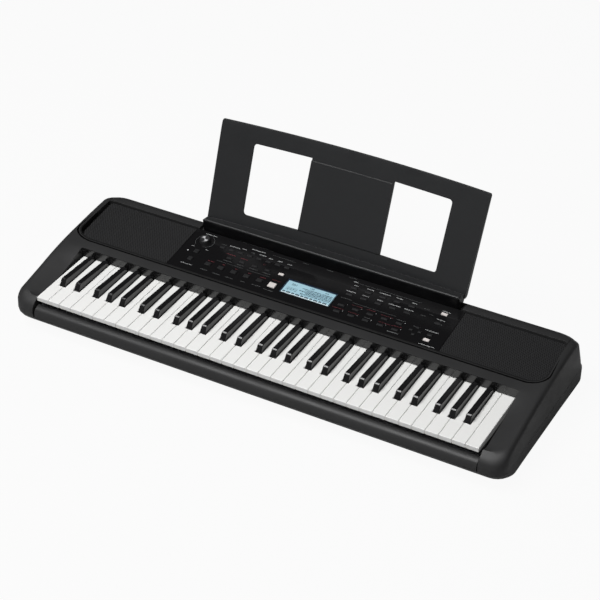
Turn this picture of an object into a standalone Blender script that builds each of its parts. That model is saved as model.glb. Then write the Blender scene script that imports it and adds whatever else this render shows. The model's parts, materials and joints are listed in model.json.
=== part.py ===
"""Arranger keyboard with 61 keys, built as the separate pieces it is made of.

Every size is in millimetres in the keyboard's own datum: X to the player's right, Y away
from the player, Z up. X = 0 is the middle of the keys, Y = 0 the front edge of the white
keys and Z = 0 their top. The datum empty carries all of it to the place where the rubber
feet stand at Z = 0 and the whole object is centred on the origin.
"""

import math

import bmesh
import bpy
from mathutils import Matrix, Vector

MM = 0.001

# Where the datum stands in the world
KEY_TOP_HEIGHT = 74.0
KEY_FRONT_Y = -193.0

# Faces bent by more than this are split
FLAT_ANGLE = math.radians(0.01)

# Clearances
SEAT_GAP = 0.3
KEY_GAP = 1.0

# Case, outside
CASE_HALF = 470.5
PARTING_Z = -40.0
BOTTOM_Z = -71.0
CORNER_STEPS = 6
HOLLOW_CORNER_STEPS = 2
REAR_BLEND = 1.7
CROWN = (
    (-12, -14.0), (2, -8.5), (14, -3.5), (45, 2.6), (76, 8.6), (108, 15.4),
    (140, 20.8), (176, 25.0), (204, 27.2), (236, 30.0), (268, 31.8), (300, 33.0), (360, 33.0),
)
CHEEK_TOP = (
    (10, -15.0), (20, -12.0), (40, -8.5), (72, -5.0), (91, -1.0), (112, 4.0),
    (130, 10.5), (148, 16.6), (176, 18.2), (204, 21.6), (236, 25.6), (268, 29.8), (300, 32.8),
)
SIDE_STATIONS = (45, 76, 92, 108, 124, 140, 158, 176, 232)
LOWER_STATIONS = (90.0, 160.0, 230.0, 300.0)
EDGE_SHARPENS = (90.0, 305.0)

# Hollows in the case
HOLLOW_HALF = 466.0
HOLLOW_FRONT = 148.5
ROOF_THICKNESS = 3.0
CHEEK_HOLLOW = (431.0, 464.0, 6.0, 149.5, -20.0)
UNDER_CASE = -80.0
OVER_CASE = 60.0
FLOOR_THICKNESS = 2.5
RIB_HALF = 1.5
RIB_FRONT = 40.0
RIB_REAR = 194.0
BOARD_RAIL_XS = (119.5, 319.5)
BOARD_RAIL_SPAN = (200.0, 330.0)
BOARD_RAIL_TOP = -52.0

# Keys
WHITE_COUNT = 36
WHITE_PITCH = 23.5
KEYS_HALF = WHITE_COUNT * WHITE_PITCH / 2
LIP_HEIGHT = 8.6
SIDE_DEPTH = 12.5
TAIL_END = 181.0
TAIL_DEPTH = 11.0
TOP_THICKNESS = 2.4
KEY_WALL = 1.6
KEY_CHAMFER = 0.7
NOTCH_FRONT = 47.4
NOTCH_HALF = 6.9
BLACK_HALVES = (4.9, 6.2)
BLACK_FRONT = 48.8
BLACK_FRONT_TOP = 56.6
BLACK_REAR = 141.2
BLACK_HEIGHT = 12.0
BLACK_REAR_HEIGHT = 7.5
BLACK_DEPTH = 12.9
SHANK_TOP = -2.0
SHANK_BOTTOM = -12.6
SHANK_HALVES = (4.2, 4.6)
SHARP_TAB_HALF = 3.2
TAB_INSET = 1.5
BLACK_CHAMFER = 0.9
HINGE_Y = 186.0
HINGE_Z = -6.0
RAIL_FRONT = 183.0
RAIL_REAR = 189.0
RAIL_THICKNESS = 2.2
RAIL_LEVELS = {"natural_a": -3.8, "natural_b": -8.0, "sharp": -12.2}
WELL_HALF = KEYS_HALF + 4.0
FALLBOARD_BOTTOM = 2.5

# Each letter: index in the octave, side of its notches
NATURALS = {
    "c": (0, "right"), "d": (1, "both"), "e": (2, "left"), "f": (3, "right"),
    "g": (4, "both"), "a": (5, "both"), "b": (6, "left"),
}
# Each sharp: white boundary it sits on and how far its middle lies beside it
SHARPS = {"cs": (1, -3.2), "ds": (2, 3.6), "fs": (4, -3.4), "gs": (5, 0.3), "as": (6, 4.2)}
OCTAVES = 5
SINGLE_KEY_OCTAVE = 2
LOWEST_OCTAVE_NUMBER = 2

# Control panel and grilles share one sloping plane
PANEL_Y = 176.0
PANEL_Z = 14.5
PANEL_SLOPE = math.radians(6.2)
PANEL_THICKNESS = 2.5
PANEL_HALF = 267.2
PANEL_DEPTH = 109.2
PANEL_REAR_HALF = 261.4
PANEL_REAR_DEPTH = 112.3
RECESS_HALF = 456.0
RECESS_DEPTH = 110.0
RECESS_FRONT_RADIUS = 20.0
RECESS_REAR_RADIUS = 9.0
REST_BAY_HALF = 262.0
REST_BAY_DEPTH = 129.5
GRILLE_INNER = 268.2
SPEAKER_X = 362.0
SPEAKER_V = 55.0
SPEAKER_RADIUS = 48.0
SPEAKER_STEPS = 16
SPEAKER_TOP = -5.9
BOARD_OPENING = 256.0
PANEL_GAP = 0.6
GRILLE_GAP = 1.3

# Buttons: middle of each, in the panel's plane
LCD_HALF = 48.5
LCD_FRONT = 23.5
LCD_REAR = 60.0
SMALL_BUTTON = (10.0, 4.4)
WIDE_BUTTON = (11.0, 8.0)
BUTTON_RISE = 1.5
BUTTON_CLEARANCE = 0.4
BUTTON_CHAMFER = 0.5
PANEL_BOARD_LOW = -7.6
FLANGE_TOP = -3.0
FLANGE_BOTTOM = -4.3
FLANGE_MARGIN = 2.0
DIAL_X = -236.0
DIAL_V = 85.5
DIAL_RADIUS = 10.5
DIAL_HEIGHT = 7.0

# Music rest, along its own leaning plane
REST_Y = 306.9
REST_Z = 50.0
REST_LEAN = math.radians(23.3)
REST_HALF_BOTTOM = 257.3
REST_HALF_TOP = 263.2
REST_HEIGHT = 178.0
REST_RISE = 3.7
REST_BOW = 16.0
REST_BAND = 16.0
REST_SHEET = 3.0
END_FLANGE = (11.0, 4.6)
FLANGE_SHARE = 0.99
WINDOW_FLANGE = (5.5, 3.0)
WINDOW_RIMS = ((77.0, 84.0), (187.0, 203.2))
REST_BOTTOM = -6.0
REST_LOW_CORNER = 12.0
REST_EAR = 11.0
EAR_SHARE = 0.95
REST_TOP_CORNER = 3.5
PLATE_SHARES = (
    1.0, 0.9965, 0.9905, 0.9888, 0.967, 0.89, 0.792, 0.788, 0.73, 0.53, 0.325, 0.302, 0.298, 0.15,
)
WINDOW_OUTER = 195.2
WINDOW_INNER = 81.0
WINDOW_BOTTOM = 16.4
WINDOW_TOP = 146.2
WINDOW_CORNER = 6.5
FLAP_BOTTOM = 16.9
FLAP_TOP = 145.4
FLAP_RISE = 2.2
SHELF_HALF = 254.5
SHELF_END = (
    (285.6, 50.9), (289.5, 25.2), (298.6, 26.2), (305.2, 36.0), (311.0, 42.0), (309.0, 47.0),
)
TONGUE_HALF = 250.0
TONGUE_LENGTH = 38.0

# Underside
FOOT_RADIUS = 8.0
FOOT_STEPS = 16
FEET = (
    ("foot_front_left", -430.0, 62.0), ("foot_front_right", 430.0, 62.0),
    ("foot_rear_left", -430.0, 305.0), ("foot_rear_right", 430.0, 305.0),
)
BAY_HALF = 52.0
BAY_FRONT = 214.0
BAY_REAR = 286.0
BAY_TOP = -50.0
BAY_WALL = 3.0
SEAT_MARGIN = 2.4
COVER_THICKNESS = 1.5
COVER_TRAVEL = 14.0

# Key frame and what stands on it
FRAME_TOP = -21.0
FRAME_BOTTOM = -24.0
FRAME_FRONT = 8.0
FRAME_REAR = 193.0
FRAME_WALL_TOP = -0.8
FRAME_SEAT = -14.0
POST_TOP = -12.6
POST_HALF = 3.0
POST_FRONT = 10.0
BOARD_THICKNESS = 1.6
CONTACT_STRIP = (126.0, 154.0)
CONTACT_BOARD = (120.0, 160.0)
RUBBER_THICKNESS = 0.8
DOME_HEIGHT = 2.2
DOME_ROWS = (133.0, 147.0)
DOME_RADII = (3.2, 2.2)
RIB_XS = (-380.0, -190.0, 0.0, 190.0, 380.0)

# Rear sockets: name, middle X, and the half width of the bore
SOCKET_Z = -18.0
SOCKETS = (("dc", -150.0, 3.2), ("sustain", -112.0, 3.4), ("phones", -74.0, 3.4), ("data", -34.0, 4.2))
SOCKET_OUTER = 6.2
SOCKET_DEPTH = 13.0
SOCKET_STEPS = 12
SOCKET_REAR = 331.0

BLACK_PLASTIC = ((0.028, 0.028, 0.029), 0.42, 0.0)
PANEL_PLASTIC = ((0.012, 0.012, 0.014), 0.22, 0.0)
WHITE_PLASTIC = ((0.86, 0.86, 0.84), 0.28, 0.0)
EBONY_PLASTIC = ((0.012, 0.012, 0.013), 0.18, 0.0)
REST_PLASTIC = ((0.030, 0.031, 0.033), 0.38, 0.0)
BUTTON_RUBBER = ((0.030, 0.030, 0.032), 0.55, 0.0)
PALE_BUTTON = ((0.62, 0.60, 0.58), 0.40, 0.0)
DIAL_PLASTIC = ((0.045, 0.045, 0.048), 0.30, 0.4)
LENS_PLASTIC = ((0.45, 0.75, 0.88), 0.08, 0.0)
BOARD_GREEN = ((0.03, 0.16, 0.07), 0.45, 0.0)
SPRING_STEEL = ((0.62, 0.62, 0.60), 0.30, 1.0)
SOFT_RUBBER = ((0.020, 0.020, 0.020), 0.80, 0.0)
FRAME_PLASTIC = ((0.10, 0.10, 0.11), 0.50, 0.0)
SPEAKER_BLACK = ((0.018, 0.018, 0.018), 0.65, 0.0)


def clear_scene():
    for obj in list(bpy.data.objects):
        bpy.data.objects.remove(obj, do_unlink=True)


def new_collection(name):
    collection = bpy.data.collections.new(name)
    bpy.context.scene.collection.children.link(collection)
    return collection


def new_empty(name, location, rotation_x, parent):
    empty = bpy.data.objects.new(name, None)
    PARTS.objects.link(empty)
    empty.location = Vector(location) * MM
    empty.rotation_euler = (rotation_x, 0.0, 0.0)
    empty.parent = parent
    return empty


def new_material(name, look):
    colour, roughness, metallic = look
    material = bpy.data.materials.new(name)
    material.use_nodes = True
    shader = material.node_tree.nodes["Principled BSDF"]
    shader.inputs["Base Color"].default_value = (*colour, 1.0)
    shader.inputs["Roughness"].default_value = roughness
    shader.inputs["Metallic"].default_value = metallic
    return material


def face_outwards(bm):
    """Splits the quads that aren't flat, and turns all faces outwards."""
    quads = [face for face in bm.faces if len(face.verts) == 4]
    bmesh.ops.connect_verts_nonplanar(bm, angle_limit=FLAT_ANGLE, faces=quads)
    bmesh.ops.recalc_face_normals(bm, faces=bm.faces)
    if bm.calc_volume(signed=True) < 0:
        bmesh.ops.reverse_faces(bm, faces=bm.faces)


def finish(name, bm, look, origin=(0.0, 0.0, 0.0), parent=None, crease=35.0):
    """Turns a mesh in datum millimetres into a named object whose origin lies at origin."""
    mesh = bpy.data.meshes.new(name)
    face_outwards(bm)
    bm.to_mesh(mesh)
    bm.free()
    mesh.transform(Matrix.Scale(MM, 4) @ Matrix.Translation(-Vector(origin)))
    return place(name, mesh, look, origin, parent, crease)


def place(name, mesh, look, origin, parent=None, crease=35.0):
    if not mesh.materials:
        mesh.materials.append(new_material(name, look))
    mesh.shade_smooth()
    mesh.set_sharp_from_angle(angle=math.radians(crease))
    obj = bpy.data.objects.new(name, mesh)
    PARTS.objects.link(obj)
    obj.location = Vector(origin) * MM
    obj.parent = parent or DATUM
    return obj


def cutter(name, bm, parent=None):
    mesh = bpy.data.meshes.new(name)
    face_outwards(bm)
    bm.to_mesh(mesh)
    bm.free()
    mesh.transform(Matrix.Scale(MM, 4))
    obj = bpy.data.objects.new(name, mesh)
    CUTTERS.objects.link(obj)
    obj.parent = parent or DATUM
    obj.hide_render = True
    obj.display_type = "WIRE"
    return obj


def boolean(obj, other, operation="DIFFERENCE"):
    modifier = obj.modifiers.new(other.name, "BOOLEAN")
    modifier.operation = operation
    modifier.solver = "EXACT"
    modifier.object = other
    return obj


def add_box(bm, low, high):
    size = Vector(high) - Vector(low)
    middle = (Vector(high) + Vector(low)) / 2
    matrix = Matrix.Translation(middle) @ Matrix.Diagonal((*size, 1.0))
    return bmesh.ops.create_cube(bm, size=1.0, matrix=matrix)["verts"]


def box_mesh(*boxes):
    bm = bmesh.new()
    for low, high in boxes:
        add_box(bm, low, high)
    return bm


def add_cylinder(bm, centre, radius, low, high, steps=24, top_radius=None):
    height = high - low
    matrix = Matrix.Translation((centre[0], centre[1], low + height / 2))
    top = radius if top_radius is None else top_radius
    bmesh.ops.create_cone(
        bm, cap_ends=True, segments=steps, radius1=radius, radius2=top, depth=height, matrix=matrix
    )


def bevel_top(bm, width, top):
    edges = [e for e in bm.edges if all(abs(v.co.z - top) < 0.001 for v in e.verts)]
    bmesh.ops.bevel(bm, geom=edges, offset=width, segments=1, affect="EDGES")


def arc(centre, radius, start, end, steps):
    """Points on a round corner, from start to end in degrees."""
    points = []
    for i in range(steps + 1):
        angle = math.radians(start + (end - start) * i / steps)
        points.append((centre[0] + radius * math.cos(angle), centre[1] + radius * math.sin(angle)))
    return points


def prism(points, low, high):
    """A flat outline in X and Y, extruded from low to high in Z."""
    bm = bmesh.new()
    base = bm.faces.new([bm.verts.new((x, y, low)) for x, y in points])
    top = bmesh.ops.extrude_face_region(bm, geom=[base])["geom"]
    for vert in top:
        if isinstance(vert, bmesh.types.BMVert):
            vert.co.z = high
    return bm


def side_prism(points, low, high):
    """A side profile in Y and Z, extruded from low to high in X."""
    bm = prism(points, low, high)
    bm.transform(Matrix(((0, 0, 1, 0), (1, 0, 0, 0), (0, 1, 0, 0), (0, 0, 0, 1))))
    return bm


def smooth_height(table, y):
    """Height at y on the smooth curve through the table's points."""
    if y <= table[0][0]:
        return table[0][1]
    if y >= table[-1][0]:
        return table[-1][1]
    i = max(k for k in range(len(table) - 1) if table[k][0] <= y)
    (y0, z0), (y1, z1) = table[i], table[i + 1]
    before = table[max(i - 1, 0)]
    after = table[min(i + 2, len(table) - 1)]
    slope0 = (z1 - before[1]) / (y1 - before[0])
    slope1 = (after[1] - z0) / (after[0] - y0)
    t = (y - y0) / (y1 - y0)
    span = y1 - y0
    return (
        z0 * (1 + 2 * t) * (1 - t) ** 2
        + slope0 * span * t * (1 - t) ** 2
        + z1 * t * t * (3 - 2 * t)
        - slope1 * span * t * t * (1 - t)
    )


def ring_right(half, front, rear, front_radius, rear_radius, stations, steps):
    """Right half of a case outline: (x, y, share of front, share of rear) from front to rear."""
    right = []
    for i in range(steps + 1):
        angle = math.radians(-90 + 90 * i / steps)
        x = half - front_radius + front_radius * math.cos(angle)
        y = front + front_radius + front_radius * math.sin(angle)
        right.append((x, y, math.sin(angle) ** 2, 0.0))
    for y in stations:
        right.append((half, y, 0.0, 0.0))
    for i in range(steps + 1):
        angle = math.radians(90 * i / steps)
        x = half - rear_radius + rear_radius * math.cos(angle)
        y = rear - rear_radius + rear_radius * math.sin(angle)
        right.append((x, y, 0.0, math.sin(angle) ** REAR_BLEND))
    return right


def case_loft(levels, stations, steps=CORNER_STEPS):
    """Lofts case outlines from the bottom level to the top one, and closes both ends.

    A level is (half width, front, rear, front radius, rear radius, height), where height
    takes a point's y, its share of the front and its share of the rear.
    """
    bm = bmesh.new()
    rings = []
    for half, front, rear, front_radius, rear_radius, height in levels:
        right = ring_right(half, front, rear, front_radius, rear_radius, stations, steps)
        ring = [bm.verts.new((x, y, height(y, f, r))) for x, y, f, r in right]
        ring += [bm.verts.new((-x, y, height(y, f, r))) for x, y, f, r in reversed(right)]
        rings.append(ring)
    count = len(rings[0])
    for lower, upper in zip(rings, rings[1:]):
        for i in range(count):
            j = (i + 1) % count
            bm.faces.new((lower[i], lower[j], upper[j], upper[i]))
    for ring in (rings[0], rings[-1]):
        for i in range(count // 2 - 1):
            bm.faces.new((ring[i], ring[i + 1], ring[count - 2 - i], ring[count - 1 - i]))
    return bm


def level_height(z):
    return lambda y, front, rear: z


def under_crown(side_drop, front_drop, rear_drop):
    """Height below the crown line: its own drop on the sides, the front and the rear."""

    def height(y, front, rear):
        drop = side_drop + (front_drop - side_drop) * front + (rear_drop - side_drop) * rear
        return smooth_height(CROWN, y) - drop

    return height


def cheek_height(y, front, rear):
    """Height of the flat tops beside the keys, and of the deck behind them."""
    return smooth_height(CHEEK_TOP, y)


def roof_height(y, front, rear):
    """Height of the hollow's roof, a wall's thickness under the panel."""
    return panel_height(y) - PANEL_THICKNESS - ROOF_THICKNESS


def edge_height(front_z, rear_z):
    """Height of a lower edge that gets sharper, and so lower, towards the rear."""

    def height(y, front, rear):
        start, end = EDGE_SHARPENS
        share = min(max((y - start) / (end - start), 0.0), 1.0)
        return front_z + (rear_z - front_z) * share

    return height


def panel_height(y):
    return PANEL_Z + (y - PANEL_Y) * math.tan(PANEL_SLOPE)


# Case


def upper_case():
    levels = [
        (CASE_HALF, -9.3, 346.5, 25, 34, level_height(PARTING_Z + SEAT_GAP / 2)),
        (CASE_HALF, -11.4, 343.6, 25, 32, level_height(-31.0)),
        (CASE_HALF - 0.3, -10.8, 330.9, 25, 41, under_crown(8.0, 9.0, 40.0)),
        (CASE_HALF - 1.2, -7.7, 324.1, 26, 40, under_crown(4.0, 5.5, 24.2)),
        (CASE_HALF - 3.5, -3.5, 316.1, 27, 38, under_crown(1.3, 2.5, 11.5)),
        (CASE_HALF - 7.0, 2.0, 306.4, 26, 32, under_crown(0.1, 0.8, 3.5)),
        (CASE_HALF - 12.5, 8.0, 300.0, 23, 27, under_crown(0.0, 0.0, 0.6)),
        (428.5, 20.0, 292.0, 12, 12, cheek_height),
    ]
    case = finish("upper_case", case_loft(levels, SIDE_STATIONS), BLACK_PLASTIC)
    cut_keys_and_hollow(case)
    cut_panel_bay(case)
    cut_rear_sockets(case)
    return case


def cut_keys_and_hollow(case):
    well = [
        (-40.0, UNDER_CASE), (143.0, UNDER_CASE), (143.0, FALLBOARD_BOTTOM), (147.2, 17.0),
        (156.0, OVER_CASE), (-40.0, OVER_CASE),
    ]
    boolean(case, cutter("key_well", side_prism(well, -WELL_HALF, WELL_HALF)))
    tails = box_mesh(((-WELL_HALF, 120.0, UNDER_CASE), (WELL_HALF, 200.0, FALLBOARD_BOTTOM)))
    boolean(case, cutter("tail_space", tails))
    levels = [
        (HOLLOW_HALF, HOLLOW_FRONT, 341.0, 2, 34, level_height(UNDER_CASE)),
        (HOLLOW_HALF, HOLLOW_FRONT, 339.5, 2, 36, level_height(-38.0)),
        (HOLLOW_HALF, HOLLOW_FRONT, 327.5, 2, 46, level_height(-12.0)),
        (HOLLOW_HALF - 4.0, HOLLOW_FRONT, 300.0, 2, 44, roof_height),
    ]
    boolean(case, cutter("rear_hollow", case_loft(levels, (204.0,), HOLLOW_CORNER_STEPS)))
    inner, outer, front, rear, roof = CHEEK_HOLLOW
    cheeks = box_mesh(
        ((inner, front, UNDER_CASE), (outer, rear, roof)),
        ((-outer, front, UNDER_CASE), (-inner, rear, roof)),
    )
    boolean(case, cutter("cheek_hollows", cheeks))


def recess_side(gap):
    """Outer side of the recess for panel and grilles, drawn in by gap."""
    half = RECESS_HALF - gap
    front = RECESS_FRONT_RADIUS - gap
    rear = RECESS_REAR_RADIUS - gap
    outline = arc((half - front, gap + front), front, -90, 0, 6)
    return outline + arc((half - rear, RECESS_DEPTH - gap - rear), rear, 0, 90, 4)


def cut_panel_bay(case):
    outline = recess_side(0.0)
    outline += [(-x, y) for x, y in reversed(outline)]
    floor = -PANEL_THICKNESS - SEAT_GAP
    boolean(case, cutter("panel_bay", prism(outline, floor, 60.0), PANEL))
    bay = box_mesh(((-REST_BAY_HALF, 90.0, floor), (REST_BAY_HALF, REST_BAY_DEPTH, 60.0)))
    boolean(case, cutter("rest_bay", bay, PANEL))
    opening = box_mesh(((-BOARD_OPENING, 7.0, -30.0), (BOARD_OPENING, 112.0, 5.0)))
    boolean(case, cutter("panel_opening", opening, PANEL))
    sound = bmesh.new()
    for side in (-1, 1):
        add_cylinder(sound, (side * SPEAKER_X, SPEAKER_V), SPEAKER_RADIUS - 4.0, -30.0, 5.0, SPEAKER_STEPS)
    boolean(case, cutter("sound_holes", sound, PANEL))
    slot = box_mesh(((-TONGUE_HALF - 1.0, -60.0, -5.6), (TONGUE_HALF + 1.0, 0.0, -0.2)))
    boolean(case, cutter("rest_slot", slot, REST))


def cut_rear_sockets(case):
    holes = bmesh.new()
    for _, x, _ in SOCKETS:
        add_socket_tube(holes, x, SOCKET_OUTER + 0.4, 300.0, 360.0)
    boolean(case, cutter("socket_holes", holes))


def add_socket_tube(bm, x, radius, front, rear):
    matrix = Matrix.Translation((x, (front + rear) / 2, SOCKET_Z)) @ Matrix.Rotation(math.pi / 2, 4, "X")
    bmesh.ops.create_cone(
        bm, cap_ends=True, segments=SOCKET_STEPS, radius1=radius, radius2=radius,
        depth=rear - front, matrix=matrix
    )


def lower_case():
    top = PARTING_Z - SEAT_GAP / 2
    outer = [
        (463.5, 23.5, 345.0, 24, 24, level_height(BOTTOM_Z)),
        (CASE_HALF - 1.0, 19.0, 348.5, 29, 28, edge_height(-66.0, -70.9)),
        (CASE_HALF, 6.0, 351.0, 30, 31, edge_height(-57.8, -70.0)),
        (CASE_HALF, -5.8, 350.8, 28, 30, level_height(-46.5)),
        (CASE_HALF, -9.3, 347.0, 25, 34, level_height(top)),
    ]
    case = finish("lower_case", case_loft(outer, LOWER_STATIONS), BLACK_PLASTIC)
    inner = [
        (460.0, 27.5, 341.0, 21, 21, level_height(BOTTOM_Z + FLOOR_THICKNESS)),
        (465.0, 21.5, 345.0, 25, 25, level_height(-64.0)),
        (467.5, 9.2, 346.5, 26, 29, level_height(-56.0)),
        (467.5, -1.8, 345.2, 24, 30, level_height(-46.5)),
        (467.5, -6.8, 342.4, 22, 32, level_height(-30.0)),
    ]
    boolean(case, cutter("lower_hollow", case_loft(inner, (170.0,), HOLLOW_CORNER_STEPS)))
    boolean(case, cutter("lower_ribs", floor_ribs()), "UNION")
    bay = box_mesh(((-BAY_HALF, BAY_FRONT, BOTTOM_Z - 5.0), (BAY_HALF, BAY_REAR, BAY_TOP)))
    boolean(case, cutter("battery_bay", bay))
    low = (-BAY_HALF - SEAT_MARGIN, BAY_FRONT - SEAT_MARGIN, BOTTOM_Z - 5.0)
    high = (BAY_HALF + SEAT_MARGIN, BAY_REAR + 2.0 + COVER_TRAVEL, BOTTOM_Z + 1.9)
    boolean(case, cutter("cover_seat", box_mesh((low, high))))
    return case


def floor_ribs():
    """Ribs under the key frame, rails under the main board, and the battery bay's walls."""
    foot = BOTTOM_Z + 1.0
    ribs = bmesh.new()
    for x in RIB_XS:
        add_box(ribs, (x - RIB_HALF, RIB_FRONT, foot), (x + RIB_HALF, RIB_REAR, FRAME_BOTTOM - SEAT_GAP))
    front, rear = BOARD_RAIL_SPAN
    for x in BOARD_RAIL_XS:
        add_box(ribs, (x - RIB_HALF, front, foot), (x + RIB_HALF, rear, BOARD_RAIL_TOP))
    low = (-BAY_HALF - BAY_WALL, BAY_FRONT - BAY_WALL, foot)
    high = (BAY_HALF + BAY_WALL, BAY_REAR + BAY_WALL, BAY_TOP + FLOOR_THICKNESS)
    add_box(ribs, low, high)
    return ribs


def key_slip():
    """Front rail: a face that rounds over to a flat top under the key fronts."""
    profile = [
        (-9.2, PARTING_Z + SEAT_GAP), (-9.6, -31.0), (-7.8, -26.2), (-4.4, -22.6), (0.5, -20.4),
        (6.0, -20.0), (6.0, -23.0), (-4.0, -26.5), (-6.4, PARTING_Z + SEAT_GAP),
    ]
    half = WELL_HALF - 2.2
    return finish("key_slip", side_prism(profile, -half, half), BLACK_PLASTIC)


# Keys


def key_edge(index):
    return -KEYS_HALF + index * WHITE_PITCH


def sharp_middle(first, letter):
    boundary, beside = SHARPS[letter]
    return key_edge(first + boundary) + beside


def sharp_at(first, boundary):
    """Middle of the black key that sits on the given white boundary of an octave."""
    letter = next(name for name in SHARPS if SHARPS[name][0] == boundary)
    return sharp_middle(first, letter)


def natural_outline(first, letter, notches):
    """Plan of a white key, counter-clockwise from its front left corner."""
    index = first + NATURALS[letter][0]
    left = key_edge(index) + KEY_GAP / 2
    right = key_edge(index + 1) - KEY_GAP / 2
    tail_left, tail_right = left, right
    if notches in ("left", "both"):
        tail_left = sharp_at(first, index - first) + NOTCH_HALF
    if notches in ("right", "both"):
        tail_right = sharp_at(first, index - first + 1) - NOTCH_HALF
    points = [(left, 0.0), (right, 0.0), (right, NOTCH_FRONT)]
    if tail_right != right:
        points.append((tail_right, NOTCH_FRONT))
    points += [(tail_right, TAIL_END), (tail_left, TAIL_END)]
    if tail_left != left:
        points.append((tail_left, NOTCH_FRONT))
    points.append((left, NOTCH_FRONT))
    return points


def inset(points, distance):
    """Moves every side of an outline of square corners inwards by distance."""
    moved = []
    count = len(points)
    for i, (x, y) in enumerate(points):
        before = points[i - 1]
        after = points[(i + 1) % count]
        shifts = set()
        for (x0, y0), (x1, y1) in ((before, (x, y)), ((x, y), after)):
            length = math.hypot(x1 - x0, y1 - y0)
            shifts.add((round(-(y1 - y0) / length), round((x1 - x0) / length)))
        moved.append((x + distance * sum(s[0] for s in shifts), y + distance * sum(s[1] for s in shifts)))
    return moved


def key_bottom(y):
    """Height of a white key's lower edge."""
    if y <= NOTCH_FRONT:
        return -LIP_HEIGHT - (SIDE_DEPTH - LIP_HEIGHT) * y / NOTCH_FRONT
    return -SIDE_DEPTH + (SIDE_DEPTH - TAIL_DEPTH) * (y - NOTCH_FRONT) / (TAIL_END - NOTCH_FRONT)


def add_natural(bm, outline):
    """A white key: chamfered top, side walls that deepen towards the rear, hollow below."""
    inner = inset(outline, KEY_WALL)
    sections = (
        [(x, y, 0.0) for x, y in inset(outline, KEY_CHAMFER)],
        [(x, y, -KEY_CHAMFER) for x, y in outline],
        [(x, y + (0.7 if y == 0 else 0.0), key_bottom(y)) for x, y in outline],
        [(x, y, key_bottom(y)) for x, y in inner],
        [(x, y, -TOP_THICKNESS) for x, y in inner],
    )
    rings = [[bm.verts.new(point) for point in section] for section in sections]
    count = len(outline)
    for upper, lower in zip(rings, rings[1:]):
        for i in range(count):
            j = (i + 1) % count
            bm.faces.new((upper[i], lower[i], lower[j], upper[j]))
    bm.faces.new(rings[0])
    bm.faces.new(reversed(rings[-1]))


def black_section(y, top, bottom, half_top, half_bottom):
    """Cross-section of a black key: chamfered top and leaning flanks."""
    shoulder = min(BLACK_CHAMFER, (top - bottom) / 3)
    right = [(half_bottom, bottom), (half_top, top - shoulder), (half_top - shoulder, top)]
    return [(x, y, z) for x, z in right] + [(-x, y, z) for x, z in reversed(right)]


def add_sharp(bm, middle):
    """A black key: sloping front, top that falls to the rear, and a low shank behind."""
    sections = [
        black_section(BLACK_FRONT, 0.8, -BLACK_DEPTH, 5.5, 6.1),
        black_section(BLACK_FRONT_TOP - 1.6, BLACK_HEIGHT - 1.3, -BLACK_DEPTH, *BLACK_HALVES),
        black_section(BLACK_FRONT_TOP + 0.6, BLACK_HEIGHT, -BLACK_DEPTH, *BLACK_HALVES),
        black_section(BLACK_REAR, BLACK_REAR_HEIGHT, -BLACK_DEPTH, *BLACK_HALVES),
        black_section(BLACK_REAR, SHANK_TOP, SHANK_BOTTOM, *SHANK_HALVES),
        black_section(TAIL_END, SHANK_TOP, SHANK_BOTTOM, *SHANK_HALVES),
    ]
    rings = [[bm.verts.new((x + middle, y, z)) for x, y, z in section] for section in sections]
    count = len(rings[0])
    for front, rear in zip(rings, rings[1:]):
        for i in range(count):
            j = (i + 1) % count
            bm.faces.new((front[i], front[j], rear[j], rear[i]))
    bm.faces.new(reversed(rings[0]))
    bm.faces.new(rings[-1])
    return middle - SHARP_TAB_HALF, middle + SHARP_TAB_HALF


def tail_rail(tabs, level):
    """Rail behind the keys with one living-hinge tab to each key, as one flat outline."""
    left = min(tab[0] for tab in tabs)
    right = max(tab[1] for tab in tabs)
    points = [(right, RAIL_FRONT), (right, RAIL_REAR), (left, RAIL_REAR), (left, RAIL_FRONT)]
    tip = TAIL_END - KEY_WALL / 2
    for low, high in sorted(tabs):
        near = low + TAB_INSET
        far = high - TAB_INSET
        points += [(near, RAIL_FRONT), (near, tip), (far, tip), (far, RAIL_FRONT)]
    return prism(points, level, level + RAIL_THICKNESS)


def key_piece(name, members, set_name, look):
    """Keys that are moulded on one rail, or a single key with its own hinge block."""
    bm = bmesh.new()
    tabs = []
    for first, letter in members:
        if letter in SHARPS:
            tabs.append(add_sharp(bm, sharp_middle(first, letter)))
        else:
            notches = NATURALS[letter][1] if first + 7 <= WHITE_COUNT else "none"
            outline = natural_outline(first, letter, notches)
            add_natural(bm, outline)
            xs = [x for x, y in outline if y == TAIL_END]
            tabs.append((min(xs), max(xs)))
    middle = (min(t[0] for t in tabs) + max(t[1] for t in tabs)) / 2
    origin = (middle, HINGE_Y, HINGE_Z)
    piece = finish(name, bm, look, origin, crease=30.0)
    rail = cutter(name + "_rail", tail_rail(tabs, RAIL_LEVELS[set_name]))
    return boolean(piece, rail, "UNION")


def keys():
    for octave in range(OCTAVES):
        first = 7 * octave
        number = octave + LOWEST_OCTAVE_NUMBER
        if octave == SINGLE_KEY_OCTAVE:
            for letter in NATURALS:
                set_name = "natural_a" if letter in "cegb" else "natural_b"
                key_piece(f"key_{letter}{number}", [(first, letter)], set_name, WHITE_PLASTIC)
            for letter in SHARPS:
                key_piece(f"key_{letter}{number}", [(first, letter)], "sharp", EBONY_PLASTIC)
            continue
        outer = [(first, letter) for letter in "cegb"]
        if octave == OCTAVES - 1:
            outer.append((WHITE_COUNT - 1, "c"))
        key_piece(f"white_keys_cegb_{number}", outer, "natural_a", WHITE_PLASTIC)
        inner = [(first, letter) for letter in "dfa"]
        key_piece(f"white_keys_dfa_{number}", inner, "natural_b", WHITE_PLASTIC)
        sharps = [(first, letter) for letter in SHARPS]
        key_piece(f"black_keys_{number}", sharps, "sharp", EBONY_PLASTIC)


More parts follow.
